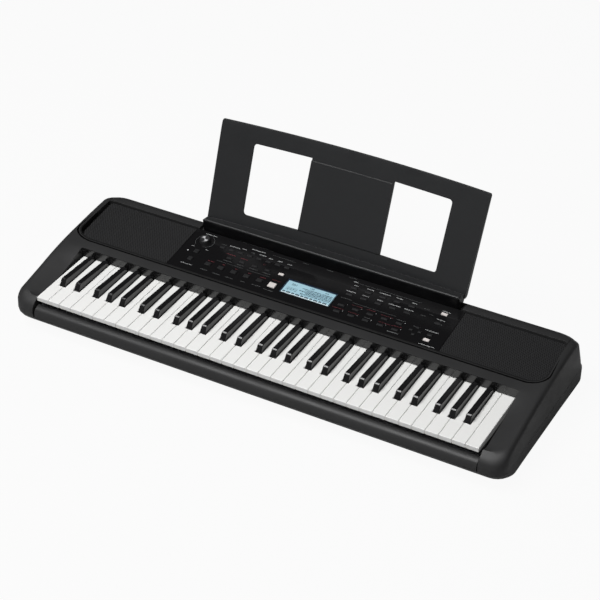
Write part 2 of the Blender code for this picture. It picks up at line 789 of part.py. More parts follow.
def key_frame():
    """Tray with a stepped rear wall that carries the key rails, and a guide post under each key."""
    half = KEYS_HALF - 2.0
    wall = RAIL_REAR + 1.6
    seat = RAIL_FRONT - 1.0
    profile = [
        (FRAME_FRONT, FRAME_BOTTOM), (FRAME_REAR, FRAME_BOTTOM), (FRAME_REAR, FRAME_WALL_TOP),
        (wall, FRAME_WALL_TOP), (wall, FRAME_SEAT), (seat, FRAME_SEAT), (seat, FRAME_TOP),
        (FRAME_FRONT, FRAME_TOP),
    ]
    frame = finish("key_frame", side_prism(profile, -half, half), FRAME_PLASTIC)
    posts = bmesh.new()
    for index in range(WHITE_COUNT):
        middle = key_edge(index) + WHITE_PITCH / 2
        low = (middle - POST_HALF, POST_FRONT, FRAME_TOP - 1.0)
        high = (middle + POST_HALF, POST_FRONT + 2 * POST_HALF, POST_TOP)
        add_box(posts, low, high)
    return boolean(frame, cutter("guide_posts", posts), "UNION")


def contact_board():
    half = KEYS_HALF - 6.0
    low = FRAME_TOP + SEAT_GAP
    front, rear = CONTACT_BOARD
    bm = box_mesh(((-half, front, low), (half, rear, low + BOARD_THICKNESS)))
    return finish("key_contact_board", bm, BOARD_GREEN)


def contact_rubber():
    """Rubber strip with one raised dome under each key."""
    low = FRAME_TOP + BOARD_THICKNESS + 2 * SEAT_GAP
    half = KEYS_HALF - 8.0
    front, rear = CONTACT_STRIP
    bm = box_mesh(((-half, front, low), (half, rear, low + RUBBER_THICKNESS)))
    rubber = finish("key_contact_rubber", bm, SOFT_RUBBER)
    places = [(key_edge(index) + WHITE_PITCH / 2, DOME_ROWS[0]) for index in range(WHITE_COUNT)]
    for octave in range(OCTAVES):
        places += [(sharp_middle(7 * octave, letter), DOME_ROWS[1]) for letter in SHARPS]
    wide, narrow = DOME_RADII
    domes = bmesh.new()
    for place_on_strip in places:
        add_cylinder(domes, place_on_strip, wide, low + 0.3, low + DOME_HEIGHT, 4, narrow)
    return boolean(rubber, cutter("rubber_domes", domes), "UNION")


# Control panel


def panel_v(y):
    """Distance up the panel's slope of a point y behind the key fronts."""
    return (y - PANEL_Y) / math.cos(PANEL_SLOPE)


def button_groups():
    """Every group of buttons: name, look and the (x, v, width, depth) of each button."""
    small, deep = SMALL_BUTTON
    wide, wide_deep = WIDE_BUTTON
    voice = [(-198.5 + 18.95 * i, panel_v(259.0), small, deep) for i in range(8)]
    voice += [(-172.0 + 26.0 * i, panel_v(238.0), small, deep) for i in range(4)]
    style = [(-199.0 + 26.4 * i, panel_v(209.0), wide, wide_deep) for i in range(5)]
    columns = [67.0 + 27.8 * i for i in range(5)]
    category = [(x, panel_v(y), 12.0, 4.6) for y in (260.5, 242.5) for x in columns]
    number = [(x, panel_v(y), 12.0, 4.6) for y in (212.0, 195.0) for x in columns]
    cursor = [(211.0, panel_v(216.0), 6.0, 4.0), (211.0, panel_v(198.0), 6.0, 4.0)]
    cursor += [(203.0, panel_v(207.0), 6.0, 4.0), (219.0, panel_v(207.0), 6.0, 4.0)]
    function = [(237.5, panel_v(y), 9.0, 5.0) for y in (240.0, 208.0)]
    return (
        ("voice_buttons", BUTTON_RUBBER, voice),
        ("style_buttons", BUTTON_RUBBER, style),
        ("category_buttons", BUTTON_RUBBER, category),
        ("number_buttons", BUTTON_RUBBER, number),
        ("cursor_buttons", BUTTON_RUBBER, cursor),
        ("function_buttons", BUTTON_RUBBER, function),
        ("record_button", PALE_BUTTON, [(237.5, panel_v(266.0), 11.0, 6.0)]),
        ("home_button", PALE_BUTTON, [(237.5, panel_v(195.0), 11.0, 6.0)]),
        ("start_stop_button", PALE_BUTTON, [(-67.0, panel_v(207.0), 14.0, 12.0)]),
        ("tempo_button", PALE_BUTTON, [(-66.5, panel_v(239.0), 10.0, 5.0)]),
        ("power_button", BUTTON_RUBBER, [(-236.0, panel_v(209.0), 9.0, 9.0)]),
        ("mode_button", BUTTON_RUBBER, [(-236.0, panel_v(231.0), 9.0, 9.0)]),
    )


def control_panel():
    outline = [
        (PANEL_HALF, PANEL_GAP), (PANEL_HALF, PANEL_DEPTH), (PANEL_REAR_HALF, PANEL_DEPTH),
        (PANEL_REAR_HALF, PANEL_REAR_DEPTH),
    ]
    outline += [(-x, y) for x, y in reversed(outline)]
    panel = finish("control_panel", prism(outline, -PANEL_THICKNESS, 0.0), PANEL_PLASTIC, parent=PANEL)
    holes = bmesh.new()
    for _, _, buttons in button_groups():
        for x, v, width, depth in buttons:
            a = width / 2 + BUTTON_CLEARANCE
            b = depth / 2 + BUTTON_CLEARANCE
            add_box(holes, (x - a, v - b, -10.0), (x + a, v + b, 5.0))
    add_box(holes, (-LCD_HALF - 0.3, LCD_FRONT - 0.3, -10.0), (LCD_HALF + 0.3, LCD_REAR + 0.3, 5.0))
    add_cylinder(holes, (DIAL_X, DIAL_V), 3.6, -10.0, 5.0, 16)
    return boolean(panel, cutter("panel_holes", holes, PANEL))


def flange_spans(buttons):
    """Joins the buttons of a row on one flange: (low x, high x, low v, high v) for each row."""
    rows = {}
    for x, v, width, depth in buttons:
        rows.setdefault(round(v, 2), []).append((x, v, width, depth))
    spans = []
    for row in rows.values():
        spans.append(
            (
                min(x - w / 2 for x, v, w, d in row) - FLANGE_MARGIN,
                max(x + w / 2 for x, v, w, d in row) + FLANGE_MARGIN,
                min(v - d / 2 for x, v, w, d in row) - FLANGE_MARGIN,
                max(v + d / 2 for x, v, w, d in row) + FLANGE_MARGIN,
            )
        )
    return spans


def button_group(name, look, buttons):
    """Buttons on a common rubber flange that lies under the panel."""
    bm = bmesh.new()
    for x, v, width, depth in buttons:
        low = (x - width / 2, v - depth / 2, FLANGE_BOTTOM + 0.4)
        high = (x + width / 2, v + depth / 2, BUTTON_RISE)
        add_box(bm, low, high)
    bevel_top(bm, BUTTON_CHAMFER, BUTTON_RISE)
    origin = (sum(b[0] for b in buttons) / len(buttons), sum(b[1] for b in buttons) / len(buttons), 0.0)
    group = finish(name, bm, look, origin, PANEL, crease=30.0)
    flange = bmesh.new()
    spans = flange_spans(buttons)
    for low_x, high_x, low_v, high_v in spans:
        add_box(flange, (low_x, low_v, FLANGE_BOTTOM), (high_x, high_v, FLANGE_TOP))
    boolean(group, cutter(name + "_flange", flange, PANEL), "UNION")
    if len(spans) > 1:
        link = bmesh.new()
        middle = (min(s[0] for s in spans) + max(s[1] for s in spans)) / 2
        low = min(s[2] for s in spans) + 1.0
        high = max(s[3] for s in spans) - 1.0
        add_box(link, (middle - 2.0, low, FLANGE_BOTTOM + 0.2), (middle + 2.0, high, FLANGE_TOP - 0.2))
        boolean(group, cutter(name + "_link", link, PANEL), "UNION")
    return group


def volume_dial():
    """A turned knob with a dished top and a shaft through the panel."""
    profile = [
        (0.0, DIAL_HEIGHT - 0.6), (6.5, DIAL_HEIGHT - 0.6), (8.2, DIAL_HEIGHT), (9.4, DIAL_HEIGHT - 0.5),
        (DIAL_RADIUS, 0.5), (3.2, 0.5), (3.2, -5.0), (0.0, -5.0),
    ]
    return turned("volume_dial", profile, (DIAL_X, DIAL_V, 0.0), DIAL_PLASTIC, PANEL, 24)


def turned(name, profile, origin, look, parent, steps):
    """A solid of revolution about Z, from a profile that runs down its outer side."""
    mesh = bpy.data.meshes.new(name)
    points = [(r * MM, 0.0, z * MM) for r, z in profile]
    mesh.from_pydata(points, [(i, i + 1) for i in range(len(points) - 1)], [])
    obj = place(name, mesh, look, origin, parent)
    screw = obj.modifiers.new("turn", "SCREW")
    screw.steps = steps
    screw.render_steps = steps
    screw.use_merge_vertices = True
    screw.merge_threshold = 0.00001
    screw.use_smooth_shade = True
    return obj


def speaker_grille(side):
    """Flat panel over a loudspeaker, a groove's width inside the recess."""
    outline = [(GRILLE_INNER, GRILLE_GAP)] + recess_side(GRILLE_GAP)
    outline += [(GRILLE_INNER, RECESS_DEPTH - GRILLE_GAP)]
    name = "speaker_grille_right" if side > 0 else "speaker_grille_left"
    bm = prism([(side * x, y) for x, y in outline], -PANEL_THICKNESS, 0.0)
    return finish(name, bm, BLACK_PLASTIC, parent=PANEL)


def speaker(side):
    """Loudspeaker: rim, basket, magnet pot and an open cone with its dust cap."""
    top = SPEAKER_TOP
    r = SPEAKER_RADIUS
    profile = [
        (0.0, top - 13.0), (12.0, top - 16.5), (r - 9.0, top - 3.0), (r - 5.0, top - 2.0),
        (r - 3.5, top), (r, top), (r, top - 2.0), (r - 6.0, top - 4.0), (r - 18.0, top - 20.0),
        (22.0, top - 22.0), (22.0, top - 34.0), (0.0, top - 34.0),
    ]
    name = "speaker_right" if side > 0 else "speaker_left"
    return turned(name, profile, (side * SPEAKER_X, SPEAKER_V, 0.0), SPEAKER_BLACK, PANEL, SPEAKER_STEPS)


def display_window():
    bm = box_mesh(((-LCD_HALF, LCD_FRONT, -2.4), (LCD_HALF, LCD_REAR, -0.2)))
    return finish("display_window", bm, LENS_PLASTIC, parent=PANEL)


def display_module():
    bm = box_mesh(((-54.0, LCD_FRONT - 4.5, -5.4), (54.0, LCD_REAR + 4.5, -2.8)))
    return finish("display_module", bm, FRAME_PLASTIC, parent=PANEL)


def panel_board():
    low = PANEL_BOARD_LOW
    bm = box_mesh(((-262.0, 2.0, low), (262.0, 115.0, low + BOARD_THICKNESS)))
    board = finish("panel_board", bm, BOARD_GREEN, parent=PANEL)
    chips = box_mesh(
        ((-120.0, 40.0, low - 2.0), (-100.0, 60.0, low + 0.5)),
        ((130.0, 30.0, low - 1.6), (144.0, 40.0, low + 0.5)),
    )
    return boolean(board, cutter("panel_chips", chips, PANEL), "UNION")


# Music rest


def rest_point(y, z):
    """Distance up the rest's plane, and in front of it, of a point in the datum."""
    dy = y - REST_Y
    dz = z - REST_Z
    up = dy * math.sin(REST_LEAN) + dz * math.cos(REST_LEAN)
    return up, dz * math.sin(REST_LEAN) - dy * math.cos(REST_LEAN)


def rest_half(s):
    return REST_HALF_BOTTOM + (REST_HALF_TOP - REST_HALF_BOTTOM) * s / REST_HEIGHT


def bow(x):
    """How far the rest's face lies behind its end edges."""
    return REST_BOW * (1.0 - min(abs(x) / REST_HALF_BOTTOM, 1.0) ** 2)


def rest_loft(shares, section):
    """Lofts sections from left to right: section gives (s, distance in front of the bow) at x."""
    bm = bmesh.new()
    rings = []
    for share in shares:
        x = share * REST_HALF_BOTTOM
        ring = []
        for s, front in section(x):
            ring.append(bm.verts.new((share * rest_half(s), s, front - bow(x))))
        rings.append(ring)
    count = len(rings[0])
    for left, right in zip(rings, rings[1:]):
        for i in range(count):
            j = (i + 1) % count
            bm.faces.new((left[i], left[j], right[j], right[i]))
    bm.faces.new(rings[0])
    bm.faces.new(reversed(rings[-1]))
    return bm


def plate_section(x):
    """Section of the plate: thin, with deep flanges at its ends and beside the windows."""
    edge = abs(x) / REST_HALF_BOTTOM
    inner_rim, outer_rim = WINDOW_RIMS
    low = high = REST_SHEET
    if edge > FLANGE_SHARE:
        low, high = END_FLANGE
    elif inner_rim[0] <= abs(x) <= inner_rim[1] or outer_rim[0] <= abs(x) <= outer_rim[1]:
        low, high = WINDOW_FLANGE
    inward = REST_HALF_BOTTOM - abs(x)
    ear = REST_EAR if edge > EAR_SHARE else 0.0
    bottom = REST_BOTTOM - ear + corner_drop(inward, REST_LOW_CORNER)
    top = REST_HEIGHT + REST_RISE * (1.0 - edge * edge) - corner_drop(inward, REST_TOP_CORNER)
    knee = top - REST_BAND
    return (
        (bottom, 0.0), (knee, 0.0), (knee + 8.0, -0.25), (top - 0.9, -1.1), (top, -2.2),
        (top, -REST_SHEET - 1.2), (knee, -high), (bottom, -low),
    )


def corner_drop(inward, radius):
    """How far a round corner lies inside a square one, at a distance inward from the end."""
    if inward >= radius:
        return 0.0
    return radius - math.sqrt(radius**2 - (radius - inward) ** 2)


def flap_section(x):
    """Section of the raised middle, the same all along."""
    edge = FLAP_RISE - 0.6
    return (
        (FLAP_BOTTOM, -1.0), (FLAP_BOTTOM, edge), (FLAP_BOTTOM + 0.8, FLAP_RISE),
        (FLAP_TOP - 0.8, FLAP_RISE), (FLAP_TOP, edge), (FLAP_TOP, -1.0),
    )


def shelf_section(x):
    """Section of the shelf: lip, top that runs back to the bowed plate, and the skirt below."""
    straight = [
        rest_point(288.8, 24.6), rest_point(284.7, 49.4), rest_point(285.1, 51.8), rest_point(286.9, 52.8),
        rest_point(289.2, 51.6),
    ]
    straight += [(-3.6, -bow(x) - 1.0), (-6.0, -bow(x) - 2.4)]
    straight += [rest_point(287.6, 47.0), rest_point(291.3, 24.6)]
    return [(s, front + bow(x)) for s, front in straight]


def window_outline(side):
    """Outline of one window: sharp inner corners, round outer ones, top along the rest's."""
    inner_top = WINDOW_TOP + REST_RISE * (1.0 - (WINDOW_INNER / REST_HALF_BOTTOM) ** 2)
    outer_top = WINDOW_TOP + REST_RISE * (1.0 - (WINDOW_OUTER / REST_HALF_BOTTOM) ** 2)
    r = WINDOW_CORNER
    points = [(WINDOW_INNER, WINDOW_BOTTOM)]
    points += arc((WINDOW_OUTER - 2.5 - r, WINDOW_BOTTOM + r), r, -90, 0, 4)
    points += arc((WINDOW_OUTER - r, outer_top - r), r, 0, 90, 4)
    points += [(WINDOW_INNER, inner_top)]
    return [(side * x, s) for x, s in points]


def music_rest():
    """Bowed plate with two windows and a raised middle, a straight shelf, and a tongue below."""
    stations = [-share for share in PLATE_SHARES] + [0.0] + list(reversed(PLATE_SHARES))
    rest = finish("music_rest", rest_loft(stations, plate_section), REST_PLASTIC, parent=REST)
    narrow = [WINDOW_INNER * i / 3 / REST_HALF_BOTTOM * 1.02 for i in range(-3, 4)]
    boolean(rest, cutter("rest_flap", rest_loft(narrow, flap_section), REST), "UNION")
    wide = [(SHELF_HALF - 1.3) / REST_HALF_BOTTOM * i / 5 for i in range(-5, 6)]
    boolean(rest, cutter("rest_shelf", rest_loft(wide, shelf_section), REST), "UNION")
    tongue = box_mesh(((-TONGUE_HALF, -TONGUE_LENGTH, -5.2), (TONGUE_HALF, -4.6, -1.0)))
    boolean(rest, cutter("rest_tongue", tongue, REST), "UNION")
    cheek = [rest_point(y, z) for y, z in SHELF_END]
    for name, side in (("left", -1), ("right", 1)):
        end = side_prism(cheek, side * (SHELF_HALF - 2.4), side * (SHELF_HALF + 0.8))
        boolean(rest, cutter("rest_cheek_" + name, end, REST), "UNION")
        window = prism(window_outline(side), -60.0, 40.0)
        boolean(rest, cutter("rest_window_" + name, window, REST))
    return rest


# Inside and underside


def main_board():
    """Circuit board on the floor's rails, with two chips and a power part with its heat sink."""
    low = BOARD_RAIL_TOP + SEAT_GAP
    top = low + BOARD_THICKNESS
    bm = box_mesh(((110.0, 212.0, low), (330.0, 322.0, top)))
    board = finish("main_board", bm, BOARD_GREEN)
    foot = top - 0.5
    parts = box_mesh(
        ((150.0, 240.0, foot), (176.0, 266.0, top + 2.5)),
        ((205.0, 230.0, foot), (225.0, 242.0, top + 2.1)),
        ((270.0, 285.0, foot), (300.0, 305.0, top + 12.1)),
    )
    return boolean(board, cutter("board_parts", parts), "UNION")


def rear_sockets():
    """Moulded socket barrels on a common bar, each with its bore open to the rear."""
    rear = SOCKET_REAR
    inside = rear - SOCKET_DEPTH
    bm = bmesh.new()
    for _, x, _ in SOCKETS:
        add_socket_tube(bm, x, SOCKET_OUTER, inside - 4.0, rear)
    sockets = finish("rear_sockets", bm, FRAME_PLASTIC)
    left = SOCKETS[0][1] - 14.0
    right = SOCKETS[-1][1] + 14.0
    bar = box_mesh(((left, inside - 5.5, SOCKET_Z - 9.0), (right, inside - 1.5, SOCKET_Z + 9.0)))
    boolean(sockets, cutter("socket_bar", bar), "UNION")
    bores = bmesh.new()
    for name, x, half in SOCKETS:
        if name == "data":
            add_box(bores, (x - half, inside, SOCKET_Z - half), (x + half, rear + 10.0, SOCKET_Z + half))
        else:
            add_socket_tube(bores, x, half, inside, rear + 10.0)
    return boolean(sockets, cutter("socket_bores", bores))


def rubber_feet():
    for name, x, y in FEET:
        bm = bmesh.new()
        top = BOTTOM_Z - SEAT_GAP
        add_cylinder(bm, (x, y), FOOT_RADIUS - 1.0, -KEY_TOP_HEIGHT, top, FOOT_STEPS, FOOT_RADIUS)
        finish(name, bm, SOFT_RUBBER, (x, y, BOTTOM_Z))


def battery_cover():
    low = BOTTOM_Z + 0.1
    half = BAY_HALF + SEAT_MARGIN - 0.4
    bm = box_mesh(((-half, BAY_FRONT - 2.0, low), (half, BAY_REAR + 1.6, low + COVER_THICKNESS)))
    return finish("battery_cover", bm, BLACK_PLASTIC, origin=(0.0, BAY_FRONT, low))


def battery_contacts():
    """Contact strip at the compartment's end, with one pressed-out spring seat for each cell."""
    x = -BAY_HALF + 0.5
    bm = box_mesh(((x, BAY_FRONT + 4.0, BAY_TOP - 13.0), (x + 0.6, BAY_REAR - 4.0, BAY_TOP - 3.0)))
    contacts = finish("battery_contacts", bm, SPRING_STEEL)
    seats = bmesh.new()
    for i in range(4):
        y = BAY_FRONT + 12.0 + i * 16.0
        matrix = Matrix.Translation((x + 2.8, y, BAY_TOP - 8.0)) @ Matrix.Rotation(math.pi / 2, 4, "Y")
        bmesh.ops.create_cone(
            seats, cap_ends=True, segments=8, radius1=3.8, radius2=2.4, depth=5.0, matrix=matrix
        )
    return boolean(contacts, cutter("spring_seats", seats), "UNION")


clear_scene()
PARTS = new_collection("arranger_keyboard")
CUTTERS = new_collection("cutters")
DATUM = new_empty("keyboard_datum", (0.0, KEY_FRONT_Y, KEY_TOP_HEIGHT), 0.0, None)
PANEL = new_empty("panel_plane", (0.0, PANEL_Y, PANEL_Z), PANEL_SLOPE, DATUM)
REST = new_empty("rest_plane", (0.0, REST_Y, REST_Z), math.pi / 2 - REST_LEAN, DATUM)

upper_case()
lower_case()
key_slip()
keys()
key_frame()
contact_board()
contact_rubber()
control_panel()
for group_name, group_look, group_buttons in button_groups():
    button_group(group_name, group_look, group_buttons)
volume_dial()
display_window()
display_module()
panel_board()
for which in (-1, 1):
    speaker_grille(which)
    speaker(which)
music_rest()
main_board()
rear_sockets()
rubber_feet()
battery_cover()
battery_contacts()
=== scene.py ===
import json
import math
import random

import bmesh
import bpy
from mathutils import Matrix, Vector


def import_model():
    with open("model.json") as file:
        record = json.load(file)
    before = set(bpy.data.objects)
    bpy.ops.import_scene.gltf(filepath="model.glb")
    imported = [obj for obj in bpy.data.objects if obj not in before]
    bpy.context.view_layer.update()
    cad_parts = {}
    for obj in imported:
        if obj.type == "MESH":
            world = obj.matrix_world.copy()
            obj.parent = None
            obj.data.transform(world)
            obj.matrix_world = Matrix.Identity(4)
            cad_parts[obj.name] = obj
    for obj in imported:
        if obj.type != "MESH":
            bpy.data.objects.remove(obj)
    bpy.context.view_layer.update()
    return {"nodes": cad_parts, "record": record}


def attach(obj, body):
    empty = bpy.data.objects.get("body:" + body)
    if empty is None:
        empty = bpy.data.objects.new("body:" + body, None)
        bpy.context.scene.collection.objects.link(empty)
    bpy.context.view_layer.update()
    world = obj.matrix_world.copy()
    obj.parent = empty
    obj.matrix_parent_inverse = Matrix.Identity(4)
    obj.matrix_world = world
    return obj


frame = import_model()
NODES = frame["nodes"]

# The keyboard's own datum: key fronts at Y = 0, key tops at Z = 0, in millimetres
MM = 0.001
DATUM = Matrix.Translation((0.0, -0.1930, 0.074)) @ Matrix.Scale(MM, 4)
PANEL_Y = 176.0
PANEL_Z = 14.5
PANEL_SLOPE = math.radians(6.2)
PANEL = DATUM @ Matrix.Translation((0.0, PANEL_Y, PANEL_Z)) @ Matrix.Rotation(PANEL_SLOPE, 4, "X")
ROOT = "keyboard"

# Zones of a surface that look different, in metres
# Polished fallboard: half width, low Y, high Y, low Z, high Z
FALLBOARD = (0.4268, -0.0508, -0.0454, 0.0766, 0.0907)
# Skirt under the rest's lip, painted near-black for its own black and the shade under the lip: high Y, high
# Z
SKIRT = (0.1008, 0.1235)
# Recess for panel and grilles: outer X, front Y, corner radius
RECESS = (0.4560, -0.0170, 0.0200)
# Round the recess, a dark border and then a groove's painted shade, a near-black line. They narrow from the
# first Y to the second, above a Z
BORDER_SPAN = (-0.0150, 0.0500, 0.0845)
BORDER_FRONT = (-MM, 0.0038)
BORDER_END = (-MM, 0.0)
GROOVE_SHADE_FRONT = (0.0054, 0.0087)
GROOVE_SHADE_END = (0.0030, 0.0030)
# Grille: outer X, front Y, corner radius, then the width of the painted shade along its front and outer
# edge, and its holes
GRILLE_EDGE = (0.4547, -0.0157, 0.0187)
GRILLE_SHADE_WIDTH = 0.0016
GRILLE_PITCH = 0.0038
# A hole is open up to the first radius and shut from the second, in millimetres
HOLE_RADIUS_MM = (1.15, 1.35)

# Surfaces
EDGE = 0.0004
CASE_EDGE = 0.0009
REST_EDGE = 0.0006
GRAIN_SCALE = 2600.0
GRAIN_DEPTH = 0.00006
DRIFT_SCALE = 18.0
CASE_COLOUR = (0.026, 0.026, 0.0265)
FALLBOARD_COLOUR = (0.006, 0.006, 0.0062)
BORDER_COLOUR = (0.009, 0.009, 0.0092)
# Painted shade of the groove round the recess
GROOVE_SHADE_COLOUR = (0.0015, 0.0015, 0.0015)
SKIRT_BLACK_AND_SHADE_COLOUR = (0.003, 0.003, 0.0034)
# Painted shade inside the grille's holes and along its edge
GRILLE_SHADE_COLOUR = (0.002, 0.002, 0.002)
# Painted highlight of the dial's spun cap
FAN_HIGHLIGHT_COLOUR = (0.62, 0.62, 0.63)
RESIST_COLOUR = (0.018, 0.11, 0.045)
TRACK_COLOUR = (0.05, 0.24, 0.10)
NICKEL = (0.62, 0.61, 0.58)
BLACK_STEEL = (0.06, 0.06, 0.06)
CASE_SHINE = 0.28
FALLBOARD_SHINE = 0.8
# Less shine inside the groove's painted shade
GROOVE_SHADE_SHINE_LOSS = 0.27
FALLBOARD_ROUGHNESS = 0.24
FALLBOARD_LEAN = 0.85
# Painted light on the white keys' sides
KEY_SIDE_PAINTED_GLOW = 0.045
FAN_HIGHLIGHT_DIRECTION = math.radians(140.0)
RING_FREQUENCY = 22000.0
SMOOTH_BELOW = math.radians(34.0)
BLACK_KEY_SMOOTH_BELOW = math.radians(14.0)
MERGE_DISTANCE = 0.000002

# Inks
WHITE_INK = (0.46, 0.47, 0.47)
DIM_INK = (0.10, 0.105, 0.105)
RED_INK = (0.17, 0.026, 0.034)
DISPLAY_EDGE_INK = (0.008, 0.018, 0.040)
DISPLAY_KEY_INK = (0.72, 0.82, 0.86)
SEGMENT_INK = (0.015, 0.05, 0.08)
PRINT_THICKNESS = 0.05
PRINT_LIFT = 0.02
PRINT_TOP = PRINT_LIFT + PRINT_THICKNESS
# Strokes of a legend: width, share of its height, shift, gap, and the shortest rest that gets a stroke
STROKE_WIDTHS = (0.45, 1.1)
STROKE_SHARES = (0.4, 0.85)
STROKE_SHIFTS = (-0.3, 0.3)
STROKE_GAPS = (0.35, 0.65)
STROKE_REST = 0.5

# Places of the small pieces, in millimetres from the datum or on the panel
DIAL_CENTRE = (-236.0, 85.5)
# Printed scale: inner and outer radius, then its two arcs in degrees
DIAL_SCALE = (17.2, 17.7)
DIAL_SCALE_ARCS = ((-62.0, 62.0), (100.0, 226.0))
# Cap: low radius, high radius, depth, height of its middle
DIAL_CAP = (7.4, 7.2, 0.25, 6.6)
# Dot beside the mode button: X, Y and radius
LAMP_DOT = (-252.0, 227.4, 1.5)
# Inner radius of a ring that stands for a disc
POINT_RADIUS = 0.0001
# Numerals beside the number buttons: first X, spacing, Ys of the two rows, size
NUMERAL_X = 76.0
NUMERAL_SPACING = 27.8
NUMERAL_YS = (218.0, 199.5)
NUMERAL_SIZE = 3.0
RULE_DEPTH = 0.35
# Rear sockets: X and bore radius of each sleeve, then the sleeves' wall, length, drop below the datum and Y
SLEEVES = ((-150.0, 2.3), (-112.0, 2.6), (-74.0, 2.6))
SLEEVE_WALL = 0.35
SLEEVE_LENGTH = 11.0
SLEEVE_DROP = 18.0
SLEEVE_Y = 319.0
SOCKET_XS = (-150.0, -112.0, -74.0, -34.0)
# Bar over a socket: half width, thickness, half height
SOCKET_MARK = (3.0, 0.05, 0.35)
SOCKET_MARK_Y = 345.0
SOCKET_MARK_Z = -7.0
SCREW_XS = (-440.0, -300.0, -130.0, 130.0, 300.0, 440.0)
SCREW_YS = (95.0, 200.0, 318.0)
# The middle row has no screw this close to the middle of the case
SCREW_FREE_X = 140.0
CASE_BOTTOM = -71.0
# Screw head: inner radius, outer radius, depth. Lobe of its cross: how far out and aside each corner lies
SCREW_HEAD = (1.7, 3.1, 0.45)
SCREW_LOBE = ((0.5, -0.5), (1.75, -0.9), (1.75, 0.9), (0.5, 0.5))
SCREW_LOBE_DEPTH = 0.38

# Display, on the panel: face height, corners, and the widths of its dark edge
DISPLAY_FACE = -0.2
DISPLAY_LOW = (-48.4, 23.6)
DISPLAY_HIGH = (48.4, 59.9)
DISPLAY_EDGE_LEFT = 2.4
DISPLAY_EDGE_RIGHT = 1.4
DISPLAY_EDGE_FRONT = 0.6
DISPLAY_EDGE_REAR = 3.2
DISPLAY_KEYS = 36
DISPLAY_OCTAVES = 5
DISPLAY_BLACK_PLACES = (1, 2, 4, 5, 6)
# Figures: text, X, V and size. Rows of bars: V and first X
DISPLAY_FIGURES = (("001", -31.0, 49.0, 7.5), ("120", 2.0, 52.0, 6.0), ("4/4", 31.0, 52.0, 5.5))
DISPLAY_ROWS = ((47.0, -14.0), (43.6, -8.0), (40.2, -17.0), (36.8, -4.0), (33.4, -12.0))
DISPLAY_ROW_END = 45.0
DISPLAY_BAR_WIDTHS = (0.7, 2.4)
DISPLAY_BAR_HALVES = (0.8, 1.4)
DISPLAY_BAR_GAPS = (0.4, 1.2)
# Small keys along the display's front: inset, pale depth, half width, then the black ones' start and end
DISPLAY_KEY_INSET = 0.5
DISPLAY_WHITE_DEPTH = 2.2
DISPLAY_BLACK_HALF = 0.95
DISPLAY_BLACK_SPAN = (1.6, 5.4)
# Stave: low X, high X and bottom V
STAVE = (-42.0, -20.0, 34.0)
STAVE_LINES = 5
STAVE_SPACING = 1.7
STAVE_LINE_DEPTH = 0.22
# Notes on it: count, first inset, spacing, radius of a head, and the stem's sides and ends
NOTES = 4
NOTE_INSET = 4.0
NOTE_SPACING = 5.0
NOTE_RADIUS = 0.95
STEM_SIDES = (0.75, 1.05)
STEM_ENDS = (1.0, 6.0)
# Thickness of the display's marks over its face, in the order in which they lie over each other
MARK_LOW = 0.01
KEY_MARK = 0.05
BAR_MARK = 0.06
NOTE_MARK = 0.08
EDGE_MARK = 0.10
BLACK_MARK = (0.055, 0.12)

# Camera, floor and light
CAMERA_PLACE = (1.21662, -2.21167, 1.90438)
CAMERA_DIP = math.radians(35.674)
CAMERA_TURN = math.radians(28.880)
CAMERA_LENS = 107.9
FLOOR_RADIUS = 14.0
FLOOR_DROP = 0.0002
FLOOR_COLOUR = (0.38, 0.38, 0.38)
FLOOR_CAMERA_SHARE = 0.94
FLOOR_GLOSSY_SHARE = 0.12
# World light along an axis: axis, from, to, light at the start, light at the end
WORLD_FADES = (("Z", 0.10, 0.34, 0.62, 0.05), ("X", 0.0, 0.75, 1.0, 0.25), ("Y", -0.35, 0.25, 1.0, 0.06))
# Lamps: name, azimuth and elevation in degrees, distance, size, watts
LAMPS = (
    ("key_light", (-30.0, 64.0), 3.2, (2.2, 1.6), 114.0),
    ("fill_light", (40.0, 50.0), 3.4, (2.0, 2.0), 7.0),
    ("rear_light", (200.0, 78.0), 3.4, (2.4, 1.0), 4.0),
)
LAMP_TARGET = Vector((0.0, 0.0, 0.08))


# Materials


